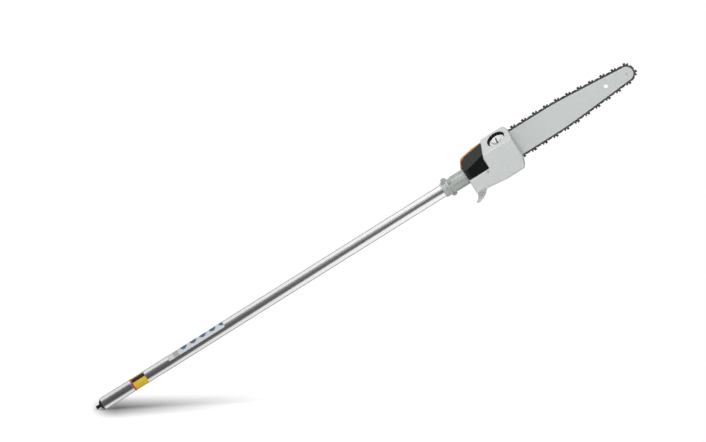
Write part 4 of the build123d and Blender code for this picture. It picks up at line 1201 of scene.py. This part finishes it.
@dataclass
class Studio:
    """Pale floor with a painted shadow at the tube's lower end, soft light, dark cards for the
    metal, and the camera.
    """

    tilt: float = math.radians(32.48)
    rise: float = math.radians(10.0)
    width: float = 1.394
    distance: float = 4.0
    sight: float = 30.0
    aim: Vector = field(default_factory=lambda: Vector((0.6133, 0.0001, 0.0442)))
    floor_drop: float = -0.0116
    floor_middle: float = 0.6
    floor_half: float = 2.2
    floor_depth: tuple[float, float] = (-1.6, 2.2)
    floor_fade: tuple[float, float] = (0.34, 0.62)
    floor_white: float = 0.9
    floor_lift: float = 0.32
    fill: float = 0.36
    # Place, reach, softness and darkness of the shadow painted into the floor's colour under and
    # behind the tube's lower end.
    painted_shadow_start: tuple[float, float] = (-0.04, 0.03)
    painted_shadow_reach: tuple[float, float] = (0.33, 0.17)
    painted_shadow_full: float = 0.01
    painted_shadow_power: float = 1.4
    painted_shadow_lean: float = 0.27
    painted_shadow_middle: float = 0.02
    painted_shadow_depth: float = 0.84

    def build(self) -> None:
        """Builds the stage, the light and the camera."""
        self.across = Vector((math.cos(self.tilt), 0.0, -math.sin(self.tilt)))
        self.normal = Vector((math.sin(self.tilt), 0.0, math.cos(self.tilt)))
        self.away = Vector((0.0, 1.0, 0.0))
        self.look = self.away * math.cos(self.rise) - self.normal * math.sin(self.rise)
        self.up = self.normal * math.cos(self.rise) + self.away * math.sin(self.rise)
        self.camera()
        self.world()
        self.floor()
        for card in CARDS:
            self.card(card)
        for box in SOFT_BOXES:
            self.lamp(box)

    def camera(self) -> None:
        """Sets up the camera at the photograph's angle."""
        data = bpy.data.cameras.new("camera")
        data.type = "ORTHO"
        data.ortho_scale = self.width
        data.clip_end = self.sight
        camera = show("camera", data)
        turn = Matrix((self.across, self.up, -self.look)).transposed().to_4x4()
        camera.matrix_world = Matrix.Translation(self.aim - self.look * self.distance) @ turn
        bpy.context.scene.camera = camera

    def world(self) -> None:
        """Makes the surroundings white to the eye and a soft grey as a light."""
        world = bpy.data.worlds.new("surroundings")
        world.use_nodes = True
        bpy.context.scene.world = world
        sheet = NodeSheet(world.node_tree)
        sheet.tree.nodes.clear()
        path = sheet.add("ShaderNodeLightPath").outputs
        seen = sheet.math("MAXIMUM", path["Is Camera Ray"], path["Is Glossy Ray"])
        seen = sheet.math("MAXIMUM", seen, path["Is Transmission Ray"])
        white = (1.0, 1.0, 1.0, 1.0)
        light, backdrop = (
            sheet.add("ShaderNodeBackground", {"Color": white, "Strength": strength}).outputs[0]
            for strength in (self.fill, 1.0)
        )
        mix = sheet.add("ShaderNodeMixShader", {0: seen, 1: light, 2: backdrop})
        sheet.add("ShaderNodeOutputWorld", {"Surface": mix.outputs[0]})

    def stage_piece(self, name: str, corners: list[Vector]) -> tuple[bpy.types.Object, NodeSheet]:
        """Puts a flat sheet of the stage into the scene, with an empty material.

        Args:
            name: Name of the sheet and its material.
            corners: Its corners in order.

        Returns:
            The object and its material's sheet.
        """
        mesh = bpy.data.meshes.new(name)
        mesh.from_pydata(corners, [], [range(len(corners))])
        obj = show(name, mesh)
        made = bpy.data.materials.new(name)
        made.use_nodes = True
        made.node_tree.nodes.clear()
        mesh.materials.append(made)
        return obj, NodeSheet(made.node_tree)

    def floor(self) -> None:
        """Builds the floor, which shows only from above and only near the tube's lower end.

        In the metal, the white surroundings and the cards show instead of it. A shadow is painted
        into its colour under and behind the tube's lower end.
        """
        middle = self.normal * self.floor_drop + self.across * self.floor_middle
        half, (near, far) = self.floor_half, self.floor_depth
        spots = ((-half, near), (half, near), (half, far), (-half, far))
        corners = [middle + self.across * along + self.away * away for along, away in spots]
        _, sheet = self.stage_piece("floor", corners)
        path = sheet.add("ShaderNodeLightPath").outputs
        # Painted shadow: the floor's colour and glow are darkened under and behind the tube's lower
        # end.
        shade = sheet.math("MULTIPLY", self.painted_shadow_mask(sheet), self.painted_shadow_depth)
        outside_painted_shadow = sheet.math("SUBTRACT", 1.0, shade)
        colour = sheet.math("MULTIPLY", outside_painted_shadow, self.floor_white)
        matt = sheet.add("ShaderNodeBsdfDiffuse", {"Color": colour}).outputs[0]
        seen = sheet.math("MAXIMUM", path["Is Camera Ray"], path["Is Transmission Ray"])
        lift = sheet.math("MULTIPLY", seen, sheet.math("MULTIPLY", outside_painted_shadow, self.floor_lift))
        glow = sheet.add("ShaderNodeEmission", {"Strength": lift}).outputs[0]
        both = sheet.add("ShaderNodeAddShader", {0: matt, 1: glow}).outputs[0]
        clear = sheet.add("ShaderNodeBsdfTransparent").outputs[0]
        below = sheet.add("ShaderNodeNewGeometry").outputs["Backfacing"]
        faded = sheet.math("MULTIPLY", self.far_mask(sheet), path["Is Camera Ray"])
        hidden = sheet.math("MAXIMUM", sheet.math("MAXIMUM", below, faded), path["Is Glossy Ray"])
        mix = sheet.add("ShaderNodeMixShader", {0: hidden, 1: both, 2: clear})
        sheet.add("ShaderNodeOutputMaterial", {"Surface": mix.outputs[0]})

    def painted_shadow_mask(self, sheet: NodeSheet) -> Socket:
        """Adds the mask of the painted shadow: high on the floor under and behind the tube's lower
        end.
        """
        place = sheet.place()
        length, breadth = self.painted_shadow_reach
        along = sheet.dot(place, self.across)
        aside = sheet.dot(place, self.away - self.across * self.painted_shadow_lean)
        middle = self.painted_shadow_middle
        begun = sheet.ramp(along, *self.painted_shadow_start)
        fading = sheet.ramp(along, length, self.painted_shadow_full, "LINEAR")
        near = sheet.ramp(aside, middle - breadth, middle)
        far = sheet.ramp(aside, middle + breadth, middle)
        mask = sheet.math("MULTIPLY", begun, sheet.math("POWER", fading, self.painted_shadow_power))
        return sheet.math("MULTIPLY", mask, sheet.math("MULTIPLY", near, far))

    def far_mask(self, sheet: NodeSheet) -> Socket:
        """Adds a value that rises to 1 away from the tube's lower end."""
        away = sheet.add("ShaderNodeVectorMath", {0: sheet.place()}, operation="LENGTH")
        return sheet.ramp(away.outputs["Value"], *self.floor_fade)

    def card(self, card: Card) -> None:
        """Hangs a dark card along the tool, which only shows in glossy surfaces."""
        ends = [(along, card.top) for along, _ in (card.edge[-1], card.edge[0])]
        corners = [Vector((along, card.away, height)) for along, height in card.edge + ends]
        obj, sheet = self.stage_piece(card.name, corners)
        for ray in ("camera", "diffuse", "transmission", "volume_scatter", "shadow"):
            setattr(obj, "visible_" + ray, False)
        grey = sheet.add("ShaderNodeEmission", {"Strength": card.shade})
        sheet.add("ShaderNodeOutputMaterial", {"Surface": grey.outputs[0]})

    def lamp(self, box: SoftBox) -> None:
        """Hangs one soft box aimed at the tool."""
        data = bpy.data.lights.new(box.name, "AREA")
        data.shape = "RECTANGLE"
        data.size, data.size_y = box.size
        data.energy = box.watts
        lamp = show(box.name, data)
        lamp.visible_glossy = box.mirrored
        offset = self.across * box.across - self.away * box.toward
        offset += self.normal * box.above + self.look * box.ahead
        facing = offset.normalized()
        right = self.across - facing * self.across.dot(facing)
        right.normalize()
        turn = Matrix((right, facing.cross(right), facing)).transposed().to_4x4()
        lamp.matrix_world = Matrix.Translation(self.aim + offset) @ turn


def main() -> None:
    """Builds the sub-assemblies in order, then the stage."""
    logging.basicConfig(level=logging.INFO, format="%(name)s: %(message)s")
    bpy.context.scene.view_settings.view_transform = "Standard"
    shop = Shop()
    shop.dress()
    DriveTube(shop).build()
    CapSlot(shop).build()
    SawChain(shop).build()
    CoverRibs(shop).build()
    Studio().build()


if __name__ == "__main__":
    main()
